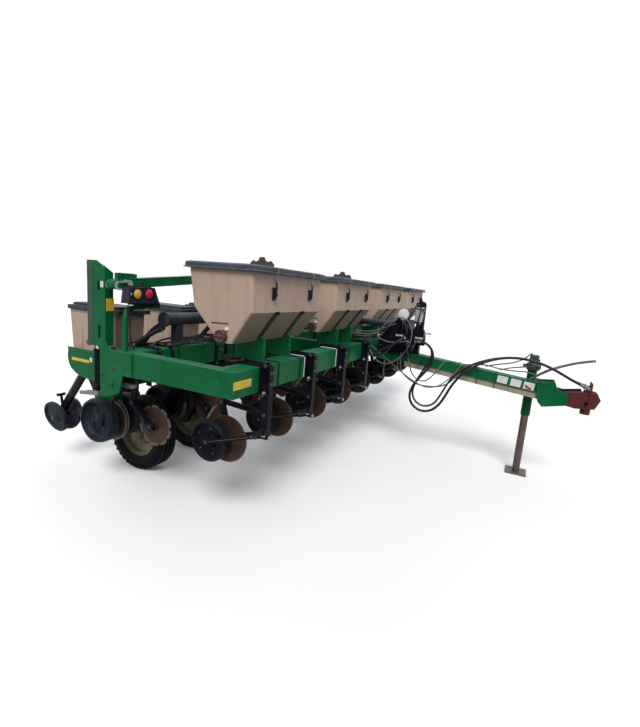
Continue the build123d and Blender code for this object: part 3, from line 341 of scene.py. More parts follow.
def swept(path, section, size=None, over=None, loop=False):
    """A section carried along a path: the point (u, v) of the section goes to
    path + size * (u * side + v * over), side and over being square to the path."""
    path, section = np.asarray(path, float), np.asarray(section, float)
    along = np.roll(path, -1, 0) - np.roll(path, 1, 0)
    if not loop:
        along[0], along[-1] = path[1] - path[0], path[-1] - path[-2]
    along = unit(along)
    if over is None:
        over = np.linalg.svd(path - path.mean(0))[2][-1]
    side = unit(np.cross(along, over))
    over = np.cross(side, along)
    size = np.ones(len(path)) if size is None else np.asarray(size, float)
    reach = section[:, 0, None] * side[:, None] + section[:, 1, None] * over[:, None]
    points = path[:, None] + size[:, None, None] * reach
    count, width = len(path), len(section)
    caps = [] if loop else [np.arange(width), (count - 1) * width + np.arange(width)[::-1]]
    return points.reshape(-1, 3), grid_faces(count, width, loop), caps


def circle(radius, sides=10):
    angle = np.arange(sides) * 2 * np.pi / sides
    return radius * np.stack((np.cos(angle), np.sin(angle)), -1)


def spun(profile, centre, axis, sides=24, ring=False):
    """A profile turned about an axis: (h, r) at the angle t goes to
    centre + h * axis + r * (cos t, sin t)."""
    profile, axis = np.asarray(profile, float), unit(np.asarray(axis, float))
    first = unit(np.cross(axis, (0.3, 0.2, 0.93) if abs(axis[2]) < 0.8 else (1.0, 0.1, 0.0)))
    second = np.cross(axis, first)
    angle = np.arange(sides) * 2 * np.pi / sides
    spokes = np.cos(angle)[:, None] * first + np.sin(angle)[:, None] * second
    height, radius = profile[:, 0, None, None], profile[:, 1, None, None]
    points = np.asarray(centre, float) + height * axis + radius * spokes
    count = len(profile)
    caps = [] if ring else [np.arange(sides), (count - 1) * sides + np.arange(sides)[::-1]]
    return points.reshape(-1, 3), grid_faces(count, sides, ring), caps


def eased(points, steps=6):
    """A smooth line by the points: pieces of parabola from middle to middle of its runs, the corner
    between them pulling it, (1 - t)^2 start + 2 t (1 - t) corner + t^2 end."""
    points = np.asarray(points, float)
    if len(points) < 3:
        return points
    middle = (points[1:] + points[:-1]) / 2
    start, end = middle[:-1].copy(), middle[1:].copy()
    start[0], end[-1] = points[0], points[-1]
    t = (np.arange(steps) / steps)[None, :, None]
    line = (1 - t) ** 2 * start[:, None] + 2 * t * (1 - t) * points[1:-1, None] + t ** 2 * end[:, None]
    return np.vstack((line.reshape(-1, 3), points[-1:]))


def tube(points, radius, sides=8, steps=6):
    return swept(eased(points, steps), circle(radius, sides))


def bar(start, end, width, height, edge=2.0, over=(0, 0, 1)):
    """A straight bar whose corners are taken off: an eight-cornered section, drawn in at both ends."""
    start, end = np.asarray(start, float), np.asarray(end, float)
    way = unit(end - start)
    u, v = width / 2, height / 2
    section = [(u, -v + edge), (u, v - edge), (u - edge, v), (-u + edge, v), (-u, v - edge),
               (-u, -v + edge), (-u + edge, -v), (u - edge, -v)]
    drawn = 1 - 2 * edge / max(width, height)
    return swept((start, start + way * edge, end - way * edge, end), section, (drawn, 1, 1, drawn), over)


def box(low, high, edge=2.0):
    """A bevelled box between two corners, carried along its longest side."""
    low, high = np.asarray(low, float), np.asarray(high, float)
    size, middle = high - low, (high + low) / 2
    longest = int(np.argmax(size))
    start, end = middle.copy(), middle.copy()
    start[longest], end[longest] = low[longest], high[longest]
    over = (0, 0, 1) if longest != 2 else (0, 1, 0)
    width = size[0] if longest != 0 else size[1]
    height = size[2] if longest != 2 else size[1]
    edge = min(edge, 0.3 * size.min())
    return bar(start, end, width, height, edge, over)


def repeat(patch, offsets):
    """The patch again at every offset: its points plus each offset, its faces numbered on."""
    points, faces, caps = patch
    offsets = np.asarray(offsets, float).reshape(-1, 3)
    start = np.arange(len(offsets)) * len(points)
    many = (points[None] + offsets[:, None]).reshape(-1, 3)
    return many, (faces[None]
                  + start[:, None, None]).reshape(-1, 4), [cap + first for first in start for cap in caps]


def flipped(patch):
    """The patch mirrored to the machine's other side."""
    return patch[0] * (-1, 1, 1), patch[1][:, ::-1], [cap[::-1] for cap in patch[2]]


def both_sides(patches):
    """The patches and, after them, their mirror images."""
    return patches + [flipped(patch) for patch in patches]


def along_x(values):
    values = np.asarray(values, float)
    return np.stack((values, np.zeros_like(values), np.zeros_like(values)), -1)


def joined(patches):
    start = np.cumsum([0] + [len(p[0]) for p in patches[:-1]])
    faces = [face for p, first in zip(patches, start) for face in (p[1] + first).tolist()]
    faces += [(cap + first).tolist() for p, first in zip(patches, start) for cap in p[2]]
    return np.vstack([p[0] for p in patches]), faces


def piece(name, patches, material, body="root"):
    """One object of several surfaces, its faces turned outwards, smooth but for edges sharper than CREASE."""
    points, faces = joined(patches)
    mesh = bpy.data.meshes.new(name)
    mesh.from_pydata(metres(points), [], faces)
    turned = bmesh.new()
    turned.from_mesh(mesh)
    bmesh.ops.recalc_face_normals(turned, faces=turned.faces)
    turned.to_mesh(mesh)
    turned.free()
    mesh.polygons.foreach_set("use_smooth", np.ones(len(mesh.polygons), bool))
    mesh.set_sharp_from_angle(angle=CREASE)
    mesh.materials.append(material)
    thing = bpy.data.objects.new(name, mesh)
    SCENE.collection.objects.link(thing)
    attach(thing, body)
    return thing


def hexagon(centre, axis, radius, height):
    """A bolt's head on its washer: six sides, the top's corners taken off."""
    washer = spun([(0, radius * 1.35), (height * 0.22, radius * 1.35)], centre, axis, 14)
    lift = np.asarray(centre, float) + unit(np.asarray(axis, float)) * height * 0.2
    head = spun([(0, radius), (height * 0.7, radius), (height * 0.8, radius * 0.86)], lift, axis, 6)
    return joined_patch(washer, head)


def joined_patch(*patches):
    """Several patches as one, so that they can be repeated together."""
    start = np.cumsum([0] + [len(p[0]) for p in patches[:-1]])
    return (np.vstack([p[0] for p in patches]),
            np.vstack([p[1] + first for p, first in zip(patches, start)]),
            [cap + first for p, first in zip(patches, start) for cap in p[2]])


# ---------------------------------------------------------------- free hoses

def free_hose(name, points, radius):
    """A hose on one open spline that keeps its route's points."""
    curve = bpy.data.curves.new(name, "CURVE")
    curve.dimensions = "3D"
    curve.bevel_depth = radius / 1000
    curve.bevel_resolution = 4
    curve.use_fill_caps = True
    spline = curve.splines.new("NURBS")
    spline.points.add(len(points) - 1)
    spline.points.foreach_set("co", np.hstack((metres(points), np.ones((len(points), 1)))).ravel())
    spline.order_u = 3
    spline.use_endpoint_u = True
    spline.resolution_u = 8
    curve.materials.append(hose_rubber)
    thing = bpy.data.objects.new(name, curve)
    SCENE.collection.objects.link(thing)
    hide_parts(name.replace("_line", ""))
    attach(thing, "root")
    return thing


OUTER = [(-215, -590, 80), (-215, -657, 80), (-214, -718, 53), (-213, -763, 3), (-212, -784, -61),
         (-210, -778, -158), (-208, -710, -262), (-208, -636, -358), (-206, -582, -462),
         (-204, -564, -576), (-202, -620, -674), (-198, -724, -720), (-196, -834, -690),
         (-194, -912, -606), (-192, -962, -502), (-186, -1004, -394), (-178, -1056, -296),
         (-168, -1124, -206), (-156, -1208, -130), (-142, -1306, -66), (-128, -1414, -16),
         (-114, -1530, 16), (-100, -1650, 26), (-88, -1772, 16), (-78, -1890, -12), (-68, -2000, -54),
         (-60, -2100, -104), (-53, -2188, -146), (-48, -2274, -180)]
INNER = [(-165, -590, 80), (-165, -646, 80), (-165, -698, 58), (-164, -737, 18), (-164, -757, -34),
         (-162, -752, -114), (-160, -708, -196), (-158, -662, -286), (-156, -622, -374),
         (-154, -592, -464), (-152, -588, -540), (-151, -614, -605), (-150, -668, -650),
         (-149, -736, -665), (-148, -803, -646), (-147, -857, -601), (-146, -888, -540),
         (-146, -922, -464), (-142, -958, -376), (-138, -1000, -290), (-131, -1058, -216),
         (-122, -1130, -152), (-110, -1216, -96), (-97, -1312, -50), (-84, -1416, -12), (-70, -1530, 12),
         (-56, -1650, 18), (-42, -1772, 8), (-28, -1890, -18), (-10, -2000, -60), (12, -2100, -110),
         (32, -2188, -151), (48, -2274, -183)]


def ferrule(start, way, radius):
    """Crimped end of a hose: two beads and a waist turned about the hose's line."""
    profile = [(0, radius + 1), (4, radius + 4), (12, radius + 4), (16, radius + 2), (22, radius + 2),
               (26, radius + 4), (36, radius + 4), (42, radius + 1)]
    return spun(profile, start, way, 16)


def hose_ends(name, points, radius):
    """Ferrules at both ends of a hose, the nut on its fitting and the sleeve of its coupler."""
    way = unit(np.subtract(points[-1], points[-2]))
    x, y, z = points[0]
    sleeve = spun([(6, 16), (6, 21), (9, 23), (22, 23), (25, 21), (25, 16)], points[-1], way, 18)
    return piece(name, [ferrule((x, y + 4, z), (0, -1, 0), radius),
                        hexagon((x, y + 30, z), (0, -1, 0), 20, 20),
                        ferrule(np.subtract(points[-1], 40 * way), way, radius), sleeve], zinc)


outer_ends = hose_ends("outer_hose_ferrules", OUTER, 14)
inner_ends = hose_ends("inner_hose_ferrules", INNER, 11)
free_hose("hose_outer_line", OUTER, 14)
free_hose("hose_inner_line", INNER, 11)


# ---------------------------------------------------------------- frame and masts

def loop_round(low, high, radius, x):
    """A round wire bent about a bar's square section: a closed path of eight points."""
    r = radius + 1
    (y0, z0), (y1, z1) = low, high
    path = [(x, y0 - r, z0 + 8), (x, y0 - r, z1 - 8), (x, y0 + 8, z1 + r), (x, y1 - 8, z1 + r),
            (x, y1 + r, z1 - 8), (x, y1 + r, z0 + 8), (x, y1 - 8, z0 - r), (x, y0 + 8, z0 - r)]
    return swept(path, circle(radius, 8), loop=True, over=(1, 0, 0))


FRONT_BAR = ((0, -178), (178, 0))
REAR_BAR = ((950, -178), (1128, 0))
piece("dark_ties", [loop_round(*FRONT_BAR, 4, x) for x in (-2247, -1905, -905, -790, 0, 905, 1905, 2247)]
      + [loop_round(*REAR_BAR, 4, x) for x in (-2300, -1550, -520, 520, 1550, 2300)], black)
piece("pale_ties", [loop_round(*FRONT_BAR, 3.5, x) for x in (-1829, -1150, 1150, 1829)], white_plate)
piece("reflectors",
      [box((side * 2702 - 98, -4, -118), (side * 2702 + 98, 0.5, -62), 1.5) for side in (-1, 1)],
      reflector)

mast_right = [hexagon((-2812, 1040, -60), (-1, 0, 0), 9, 8), hexagon((-2812, 1105, -140), (-1, 0, 0), 9, 8),
              hexagon((-2812, 985, -120), (-1, 0, 0), 9, 8), hexagon((-2812, 1230, -200), (-1, 0, 0), 9, 8)]
piece("mast_bolts", both_sides(mast_right), dull_steel)
shaft_cap = [spun([(0, 30), (6, 30), (9, 26), (9, 12), (14, 9)], (-2812, *ROCKSHAFT), (-1, 0, 0), 24)]
piece("rockshaft_caps", both_sides(shaft_cap), green)
piece("mast_small_plates",
      [box((side * 2816 - 3, 1195, 460), (side * 2816 + 1 if side < 0 else side * 2816 + 3, 1227, 505), 1)
       for side in (-1, 1)], white_plate)
piece("mast_signs",
      [box((side * 2769.5 - 33, 1182.5, 288), (side * 2769.5 + 33, 1186, 380), 1.2) for side in (-1, 1)],
      yellow_sign)
bracket = [box((-2806, 1378, 4), (-2774, 1412, 48), 4), hexagon((-2790, 1412, 30), (0, 1, 0), 12, 12),
           box((-2800, 1150, -2), (-2752, 1186, 26), 4)]
piece("mast_brackets", both_sides(bracket), worn_steel)
# Two thin strips in a grey-green darker than the mast's paint, on its rear edge and outer face.
strips = [box((-2811, 1379, 20), (-2786, 1384, 648), 2),
          box((-2814.5, 1322, 18), (-2810.5, 1378, 640), 1.5)]
piece("mast_edge_strips", both_sides(strips), dull_grey)
lever_plate = [bar((-2763, 1300, -366), (-2763, 1504, -391), 72, 6, 1.5),
               bar((-2804, 1290, -366), (-2804, 1500, -392), 12, 30, 3)]
top_plate = box((-2722, 1003, -296), (-2676, 1146, -262), 4)
piece("arm_top_plates", both_sides([top_plate]), steel_grey)
piece("lever_plates", both_sides(lever_plate), steel_grey, "lift")
lift_hose = tube([(-2758, 1352, -30), (-2758, 1372, 0), (-2764, 1392, 40), (-2764, 1396, 160),
                  (-2762, 1394, 300), (-2762, 1380, 420)], 7)
piece("lift_hoses", both_sides([lift_hose]), hose_rubber)
collars = [spun([(0, 37), (3, 40), (20, 40), (23, 37)], (-2758, 1332, -44), (0, 0, 1), 24),
           spun([(0, 37), (3, 39), (12, 39), (15, 37)], (-2758, 1332, -284), (0, 0, 1), 24),
           spun([(0, 9), (3, 12), (16, 12), (18, 8)], (-2758, 1366, -70), (0, 1, 0), 10)]
piece("lift_barrel_collars", both_sides(collars), black, "lift_barrels")

# ---------------------------------------------------------------- lamps

def dome(centre, axis, radius, height):
    """A lens: a quarter of an ellipse turned about its axis."""
    angle = np.linspace(0, math.pi / 2 * 0.96, 7)
    profile = np.stack((height * np.sin(angle), radius * np.cos(angle)), -1)
    return spun(np.vstack(([(-2, radius)], profile)), centre, axis, 24)


def bezel(centre, axis, radius):
    return spun([(-1, radius - 3), (-1, radius + 6), (5, radius + 6), (7, radius + 3), (5, radius - 1),
                 (3, radius - 3)], centre, axis, 24, ring=True)


# The small blue dome at the near end stands for the housing side's reflection of the sky: a painted
# reflection.
lamp_faces = [((-2712, 964, 432), 37, amber, "amber"), ((-2606, 964, 435), 37, red, "red"),
              ((-2768, 964, 428), 16, blue_painted_reflection, "side")]
for centre, radius, lens, word in lamp_faces:
    front = dome(centre, (0, -1, 0), radius, 12)
    back = dome((centre[0], 1046, centre[2]), (0, 1, 0), radius, 12)
    both = [front, back] if word != "side" else [front]
    piece(f"{word}_lenses", both_sides(both), lens)
rims = [bezel(c, (0, -1, 0), r) for c, r, _, _ in lamp_faces] + [bezel((c[0], 1046, c[2]), (0, 1, 0), r)
                                                                 for c, r, _, _ in lamp_faces[:2]]
lamp_trim = [box((-2786, 962, 352), (-2500, 966, 366), 2), box((-2772, 1000, 480), (-2550, 1010, 488), 2),
             box((-2540, 1012, 340), (-2446, 1034, 346), 2)]
piece("lamp_bezels", both_sides(rims + lamp_trim), black)
lamp_lead = [tube([(-2740, 1024, 356), (-2760, 1016, 330), (-2757, 1018, 287), (-2752, 1006, 220),
                   (-2757, 984, 150), (-2745, 990, 60), (-2700, 1010, 6)], 4),
             tube([(-2560, 1024, 352), (-2590, 1018, 326), (-2680, 1018, 322), (-2734, 1016, 300),
                   (-2736, 1016, 180), (-2736, 1014, 8)], 4)]
piece("lamp_leads", both_sides(lamp_lead), hose_rubber)

# ---------------------------------------------------------------- marker arms

def marker_trim(side, body, disc_body):
    px, py, pz = MARKER_PIVOT
    turn = np.linspace(-math.pi / 2, math.pi / 2, 9)
    left = np.stack((px + 1 - 26 * np.cos(turn), np.full(9, 0.0), pz - 6 + 26 * -np.sin(turn)), -1)
    right = np.stack((px + 98 + 10 * np.cos(turn), np.full(9, 0.0), pz + 4 + 26 * np.sin(turn)), -1)
    ring = np.vstack((left, right))
    section = [(7, -6), (7, 4), (-7, 4), (-7, -6)]
    steel = [swept(ring + (0, y, 0), section, loop=True, over=(0, 1, 0)) for y in (py - 49, py + 49)]
    steel += [hexagon((px, py - 46, pz), (0, -1, 0), 15, 10),
              bar((px + 60, py - 50, pz + 34), (px + 60, py + 50, pz + 34), 10, 10)]
    steel += [hexagon((px + 92, py - 42, pz + 8), (0, -1, 0), 11, 9),
              spun([(0, 8), (84, 8)], (px + 92, py - 42, pz + 8), (0, 1, 0), 10)]
    edge = [bar((px + 110, py - 39, pz + 46), (px + 1590, py - 39, pz + 179), 6, 3, 1),
            box((px + 40, py - 17, pz + 82), (px + 160, py + 17, pz + 86), 2)]
    bolts = [hexagon((x, py - 38, z), (0, -1, 0), 10, 8)
             for x, z in ((px + 220, pz + 22), (px + 700, pz + 66), (px + 1540, pz + 142))]
    dx, dy, dz = MARKER_DISC
    hub = [spun([(0, 46), (6, 44), (10, 30), (22, 26), (24, 20)], (dx + 14, dy, dz), (1, 0, 0), 24)]
    hub += [hexagon((dx - 4, dy + 62 * math.cos(a), dz + 62 * math.sin(a)), (-1, 0, 0), 8, 6)
            for a in np.arange(5) * 2 * math.pi / 5]
    turnover = (lambda p: p) if side < 0 else flipped
    word = "right" if side < 0 else "left"
    piece(f"marker_clevis_{word}", [turnover(p) for p in steel], galvanised, body)
    piece(f"marker_bolts_{word}", [turnover(p) for p in bolts], dull_steel, body)
    piece(f"marker_edge_{word}", [turnover(p) for p in edge], green, body)
    piece(f"marker_hub_{word}", [turnover(p) for p in hub], black, disc_body)


marker_trim(-1, "marker_right", "marker_disc_right")
marker_trim(1, "marker_left", "marker_disc_left")

# ---------------------------------------------------------------- fertiliser tanks

def tank_trim(number, middle):
    """Trim of one tank: latches, their clips, moulded ribs, knobs, and the beads and ribs on its lid."""
    black_parts, clips, moulded, knobs = [], [], [], []
    for offset in (-260, 300):
        x = middle + offset
        black_parts += [swept(eased([(x, -6, 596), (x - 3, -12, 580), (x + 5, -9, 556), (x - 5, -12, 530),
                                     (x + 6, -11, 506), (x + 2, -6, 488)]), circle(7, 8)),
                        box((x - 20, -12, 548), (x + 20, -3, 560), 3),
                        box((x - 16, -14, 500), (x + 18, -4, 510), 3),
                        box((x - 10, -4, 478), (x + 12, 16, 492), 3)]
        clips += [tube([(x - 9, 8, 600), (x - 9, -8, 603), (x - 8, -10, 640), (x - 6, -17.5, 668),
                        (x + 6, -17.5, 668), (x + 8, -10, 640), (x + 9, -8, 603), (x + 9, 8, 600)], 2.4,
                       6), box((x - 8, -19, 656), (x + 8, -16, 696), 1)]
    for side in (-1, 1):
        wall = side * 502.5
        moulded += [bar((middle + wall + side * 1, 208, 290), (middle + wall + side * 0.6, 362, 283), 10,
                        9, 3, (1, 0, 0))]
        knobs += [spun([(-6, 15), (6, 15), (12, 12), (15, 6)], (middle + side * 502, 223, 250),
                       (side, 0, 0.1), 16)]
    piece(f"tank_latches_{number}", black_parts, rubber)
    piece(f"tank_clips_{number}", clips, zinc)
    piece(f"tank_mould_lines_{number}", moulded, brown)
    piece(f"tank_knobs_{number}", knobs, white_plate)
    rim = [(middle - 512, 12, 696.5), (middle + 512, 12, 696.5), (middle + 524, 24, 696.5),
           (middle + 524, 556, 696.5), (middle + 512, 568, 696.5), (middle - 512, 568, 696.5),
           (middle - 524, 556, 696.5), (middle - 524, 24, 696.5)]
    bead = [swept(rim, circle(5, 8), loop=True, over=(0, 0, 1))]
    bead += [box((middle + x - 9, 40, 695), (middle + x + 9, 540, 701.5), 3)
             for x in (-360, -120, 120, 360)]
    lip = [(middle - 536, -17, 660), (middle + 536, -17, 660), (middle + 543, -10, 660),
           (middle + 543, 590, 660), (middle + 536, 597, 660), (middle - 536, 597, 660),
           (middle - 543, 590, 660), (middle - 543, -10, 660)]
    bead += [swept(lip, circle(4, 8), loop=True, over=(0, 0, 1))]
    piece(f"tank_lid_ribs_{number}", bead, lid_grey, f"tank_lid_{number}")


for number, middle in enumerate(TANKS, 1):
    tank_trim(number, middle)
caps = [joined_patch(spun([(0, 46), (8, 46), (11, 43), (11, 34), (7, 31), (7, 14), (12, 10)],
                          (side * 528, 262, 198), (side, 0, 0), 24),
                     box((side * 538 - 5, 224, 194), (side * 538 + 5, 300, 202), 2)) for side in (-1, 1)]
piece("outlet_caps", [repeat(cap, along_x(TANKS)) for cap in caps], brown)
cradle_edges = [joined_patch(bar((o, 108, 2), (o, 108, 164), 26, 8, 2, (0, 1, 0)),
                             bar((o, 108, 162), (o, 146, 187), 26, 8, 2, (0, -0.55, 0.83)))
                for o in (-195, 195)]
piece("cradle_flanges", [repeat(edge, along_x(TANKS)) for edge in cradle_edges], green)
strap_ends = [joined_patch(box((o - 27, 2, 362), (o + 27, 14, 386), 3),
                           hexagon((o, 4, 374), (0, -1, 0), 8, 6)) for o in (-195, 195)]
piece("strap_ends", [repeat(end, along_x(TANKS)) for end in strap_ends], black)

# ---------------------------------------------------------------- wheels

def wheel_trim(number, x, side):
    """Hub cap, wheel nuts and valve of a ground wheel, on its open side, and the tread's cross cuts."""
    y, z = AXLE
    way = (-side, 0, 0)
    out = x - side * 84
    hub = [spun([(-4, 58), (3, 56), (8, 40), (14, 36), (16, 28)], (out, y, z), way, 24)]
    nuts = [hexagon((x - side * 30, y + 80 * math.cos(a), z + 80 * math.sin(a)), way, 10, 12)
            for a in np.arange(6) * math.pi / 3]
    valve = [spun([(0, 5), (24, 5), (28, 3.5)], (x - side * 40, y + 170, z + 40), way, 8)]
    piece(f"hub_cap_{number}", hub, pale, f"wheel_{number}")
    piece(f"wheel_nuts_{number}", nuts + valve, worn_steel, f"wheel_{number}")
    bead = [spun([(h, 214), (h + s * 4, 221), (h + s * 10, 222), (h + s * 12, 214)], (x, y, z), (1, 0, 0),
                 48, ring=True) for h, s in ((-61, -1), (61, 1))]
    angle = np.arange(36) * 2 * math.pi / 36
    turned = np.stack((np.zeros(36), np.cos(angle), np.sin(angle)), -1)
    blocks = []
    for low, high, shift in ((-97, -80, 0.0), (80, 97, 0.5)):
        step = np.stack((np.zeros(36), np.cos(angle + shift * 0.17), np.sin(angle + shift * 0.17)), -1)
        centre = np.array((x + (low + high) / 2, y, z)) + 333 * step
        blocks.append(lug_ring(centre, step, high - low, 26, 15))
    piece(f"tyre_lugs_{number}", blocks, tyre_rubber, f"wheel_{number}")
    piece(f"rim_beads_{number}", bead, pale, f"wheel_{number}")


def lug_ring(centres, outward, width, length, height):
    """Blocks set round a circle: each corner goes to centre + a * (1, 0, 0) + b * outward + c * forward."""
    forward = np.cross(np.broadcast_to((1.0, 0.0, 0.0), outward.shape), outward)
    a = np.array((-1, 1, 1, -1, -1, 1, 1, -1)) * width / 2
    b = np.array((-1, -1, -1, -1, 1, 1, 1, 1)) * height / 2
    c = np.array((-1, -1, 1, 1, -0.7, -0.7, 0.7, 0.7)) * length / 2
    a = a * np.array((1, 1, 1, 1, 0.75, 0.75, 0.75, 0.75))
    a, b, c = (values[None, :, None] for values in (a, b, c))
    points = centres[:, None] + a * (1.0, 0.0, 0.0) + b * outward[:, None] + c * forward[:, None]
    faces = np.array(((0, 3, 2, 1), (4, 5, 6, 7), (0, 1, 5, 4), (1, 2, 6, 5), (2, 3, 7, 6), (3, 0, 4, 7)))
    start = np.arange(len(centres)) * 8
    return points.reshape(-1, 3), (faces[None] + start[:, None, None]).reshape(-1, 4), []


for number, (x, side) in enumerate(WHEELS, 1):
    wheel_trim(number, x, side)

# ---------------------------------------------------------------- fertiliser openers

ROW_SHIFT = along_x(ROWS)


def in_rows(name, patches, material, body="root"):
    return piece(name, [repeat(p, ROW_SHIFT) for p in patches], material, body)


def round_bolts(centre, way, circle_radius, count, radius, height, first=0.0):
    """Bolts evenly round a hub in a plane of constant x."""
    x, y, z = centre
    angles = first + np.arange(count) * 2 * math.pi / count
    return [hexagon((x, y + circle_radius * math.cos(a), z + circle_radius * math.sin(a)), way, radius,
                    height) for a in angles]


clamp_nuts = [hexagon((x, -34, 12), (0, -1, 0), 13, 13) for x in (-42, 42)]
clamp_nuts += [hexagon((x, 212, z), (0, 1, 0), 13, 13) for x in (-42, 42) for z in (12, -190)]
clamp_nuts += [hexagon((x, -70, z), (0, -1, 0), 11, 9) for x in (-14, 14) for z in (-40, -120)]
bright_nuts = [hexagon((x, -34, -190), (0, -1, 0), 15, 14) for x in (-42, 42)]
bright_nuts += [hexagon((28, -43, -500), (1, 0, 0), 15, 12),
                hexagon((-28, -43, -500), (-1, 0, 0), 15, 12), hexagon((0, -78, -524), (0, -1, 0), 12, 9)]
clamp_nuts += [hexagon((28, -43, -350), (1, 0, 0), 14, 12), hexagon((-28, -43, -350), (-1, 0, 0), 14, 12),
               hexagon((15, 345, -322), (1, 0, 0), 15, 12), hexagon((-28, 345, -322), (-1, 0, 0), 15, 10)]
in_rows("opener_nuts", clamp_nuts, dull_steel)
in_rows("opener_bright_nuts", bright_nuts, galvanised)
# A thin strip of dull steel colour along each opener arm's edge: a painted highlight.
in_rows("opener_arm_highlight_strips", [bar((-180.5, 330, -592), (-180.5, -20, -477), 3, 6, 0.8)], dull_steel)
edges = [box((-66, -20, -2), (66, -12, 6), 2), box((-62, -74, -196), (-30, -16, -186), 3),
         box((30, -74, -196), (62, -16, -186), 3), box((-34, -78, -530), (34, -10, -516), 5),
         box((-34, -74, -366), (34, -12, -330), 5), box((-20, 30, -556), (20, 70, -500), 5),
         spun([(0, 34), (5, 36), (16, 36), (20, 30)], (15, *OPENER), (1, 0, 0), 20),
         spun([(0, 26), (6, 30), (24, 30), (28, 24)], (-56, *OPENER_SHAFT), (1, 0, 0), 16)]
in_rows("opener_cast_edges", edges, black)
lever = [tube([(-6, 400, -352), (-8, 424, -384), (-10, 454, -428), (-10, 476, -466), (-10, 480, -486)], 9,
              8)]
in_rows("opener_pale_levers", lever, steel_grey)
in_rows("opener_knuckles", [box((-26, 372, -356), (20, 420, -316), 10),
                            spun([(0, 16), (50, 16)], (-30, 404, -350), (1, 0, 0), 14)], casting)
in_rows("opener_hub_bolts", round_bolts((-66, *OPENER), (-1, 0, 0), 30, 4, 7, 6), worn_steel,
        "opener_discs")
face = [spun([(-2, 158), (4, 158), (6, 154), (6, 146), (3, 142), (-2, 142)], (-146, *OPENER_WHEEL),
             (-1, 0, 0), 48, ring=True),
        spun([(0, 30), (8, 30), (12, 26), (12, 17)], (-146, *OPENER_WHEEL), (-1, 0, 0), 20)]
in_rows("opener_wheel_rims", face, opener_plate, "opener_wheels")
in_rows("opener_wheel_bolts", round_bolts((-141, *OPENER_WHEEL), (-1, 0, 0), 100, 5, 6, 6, 0.5),
        dull_steel, "opener_wheels")
in_rows("opener_axle_nuts", [hexagon((-178, *OPENER_WHEEL), (-1, 0, 0), 11, 8),
                             hexagon((-178, *OPENER_SHAFT), (-1, 0, 0), 10, 8)], dull_steel)

# ---------------------------------------------------------------- row units

def spring(start, end, radius, wire, turns):
    """A coil spring: start + t * (end - start) + radius * (cos(2 pi turns t) e1 + sin(2 pi turns t) e2)."""
    start, end = np.asarray(start, float), np.asarray(end, float)
    t = np.linspace(0, 1, turns * 12 + 1)[:, None]
    way = unit(end - start)
    first = unit(np.cross(way, (1.0, 0.0, 0.0)))
    second = np.cross(way, first)
    angle = 2 * math.pi * turns * t
    line = start + t * (end - start) + radius * (np.cos(angle) * first + np.sin(angle) * second)
    return swept(line, circle(wire, 6), over=way)


springs = [spring((side * 34, 1212, -60), (side * 34, 1440, -262), 17, 3.6, 13) for side in (-1, 1)]
in_rows("row_springs", springs, worn_steel)
hooks = [tube([(side * 34, 1188, -36), (side * 34, 1200, -48), (side * 34, 1216, -64)], 5, 6)
         for side in (-1, 1)]
hooks += [tube([(side * 34, 1436, -258), (side * 34, 1456, -276), (side * 34, 1470, -290)], 5, 6)
          for side in (-1, 1)]
hooks += [spun([(0, 7), (100, 7)], (-50, 1190, -40), (1, 0, 0), 8),
          spun([(0, 7), (100, 7)], (-50, 1468, -290), (1, 0, 0), 8)]
in_rows("row_spring_hooks", hooks, black)
heads = [hexagon((side * 96, y, z), (side, 0, 0), 12, 9) for side in (-1, 1)
         for y, z in ((1223, -150), (1223, -290))]
heads += [hexagon((side * 72, 934, z), (0, -1, 0), 11, 10) for side in (-1, 1) for z in (-10, -193)]
heads += [hexagon((side * 72, 960, 14), (0, 0, 1), 11, 9) for side in (-1, 1)]
heads += [hexagon((side * 84, 1485, z), (side, 0, 0), 11, 8) for side in (-1, 1) for z in (-170, -310)]
heads += [hexagon((side * 76, 1552, -470), (side, 0, 0), 12, 9) for side in (-1, 1)]
heads += [hexagon((-66, *COULTER), (-1, 0, 0), 13, 10), hexagon((-66, 1250, -494), (-1, 0, 0), 13, 9)]
in_rows("row_bolts", heads, dull_steel)
axle_ends = [spun([(0, 24), (8, 24), (12, 20), (12, 12), (20, 9)], (side * 186, *GAUGE), (side, 0, 0), 18)
             for side in (-1, 1)]
in_rows("gauge_axle_caps", axle_ends, rubber)
row_hoses = [tube([(-60, 1128, -120), (-90, 1150, -190), (-104, 1200, -290), (-92, 1300, -340),
                   (-70, 1400, -300), (-60, 1480, -250)], 17, 8),
             tube([(64, 1128, -60), (96, 1160, -120), (110, 1230, -240), (100, 1330, -330),
                   (66, 1440, -330)], 13, 8),
             tube([(-20, 1128, -40), (-44, 1190, 20), (-50, 1290, 20), (-40, 1360, -40)], 8, 6)]
in_rows("row_hoses", row_hoses, hose_rubber)
dark_castings = [box((-118, 1148, -186), (-98, 1160, 24), 3), box((98, 1148, -186), (118, 1160, 24), 3),
                 box((-112, 1149, -120), (112, 1156, -100), 3), box((-84, 930, -36), (-60, 936, -8), 3),
                 box((60, 930, -36), (84, 936, -8), 3),
                 spun([(0, 30), (4, 34), (18, 34), (22, 28)], (-74, 1250, -494), (1, 0, 0), 20),
                 bar((-50, 1236, -470), (-50, 1080, -640), 10, 64, 4, (1, 0, 0))]
in_rows("row_castings", dark_castings, black)
frame_edges = [tube([(side * 62, 1905, -120), (side * 62, 1905, -290), (side * 62, 1860, -330),
                     (side * 62, 1790, -380), (side * 62, 1690, -560), (side * 62, 1660, -740)], 5, 6)
               for side in (-1, 1)]
frame_edges += [spun([(0, 30), (6, 34), (14, 34), (18, 26)], (side * 60, 1860, -250), (side, 0, 0), 20)
                for side in (-1, 1)]
in_rows("row_frame_edges", frame_edges, green)
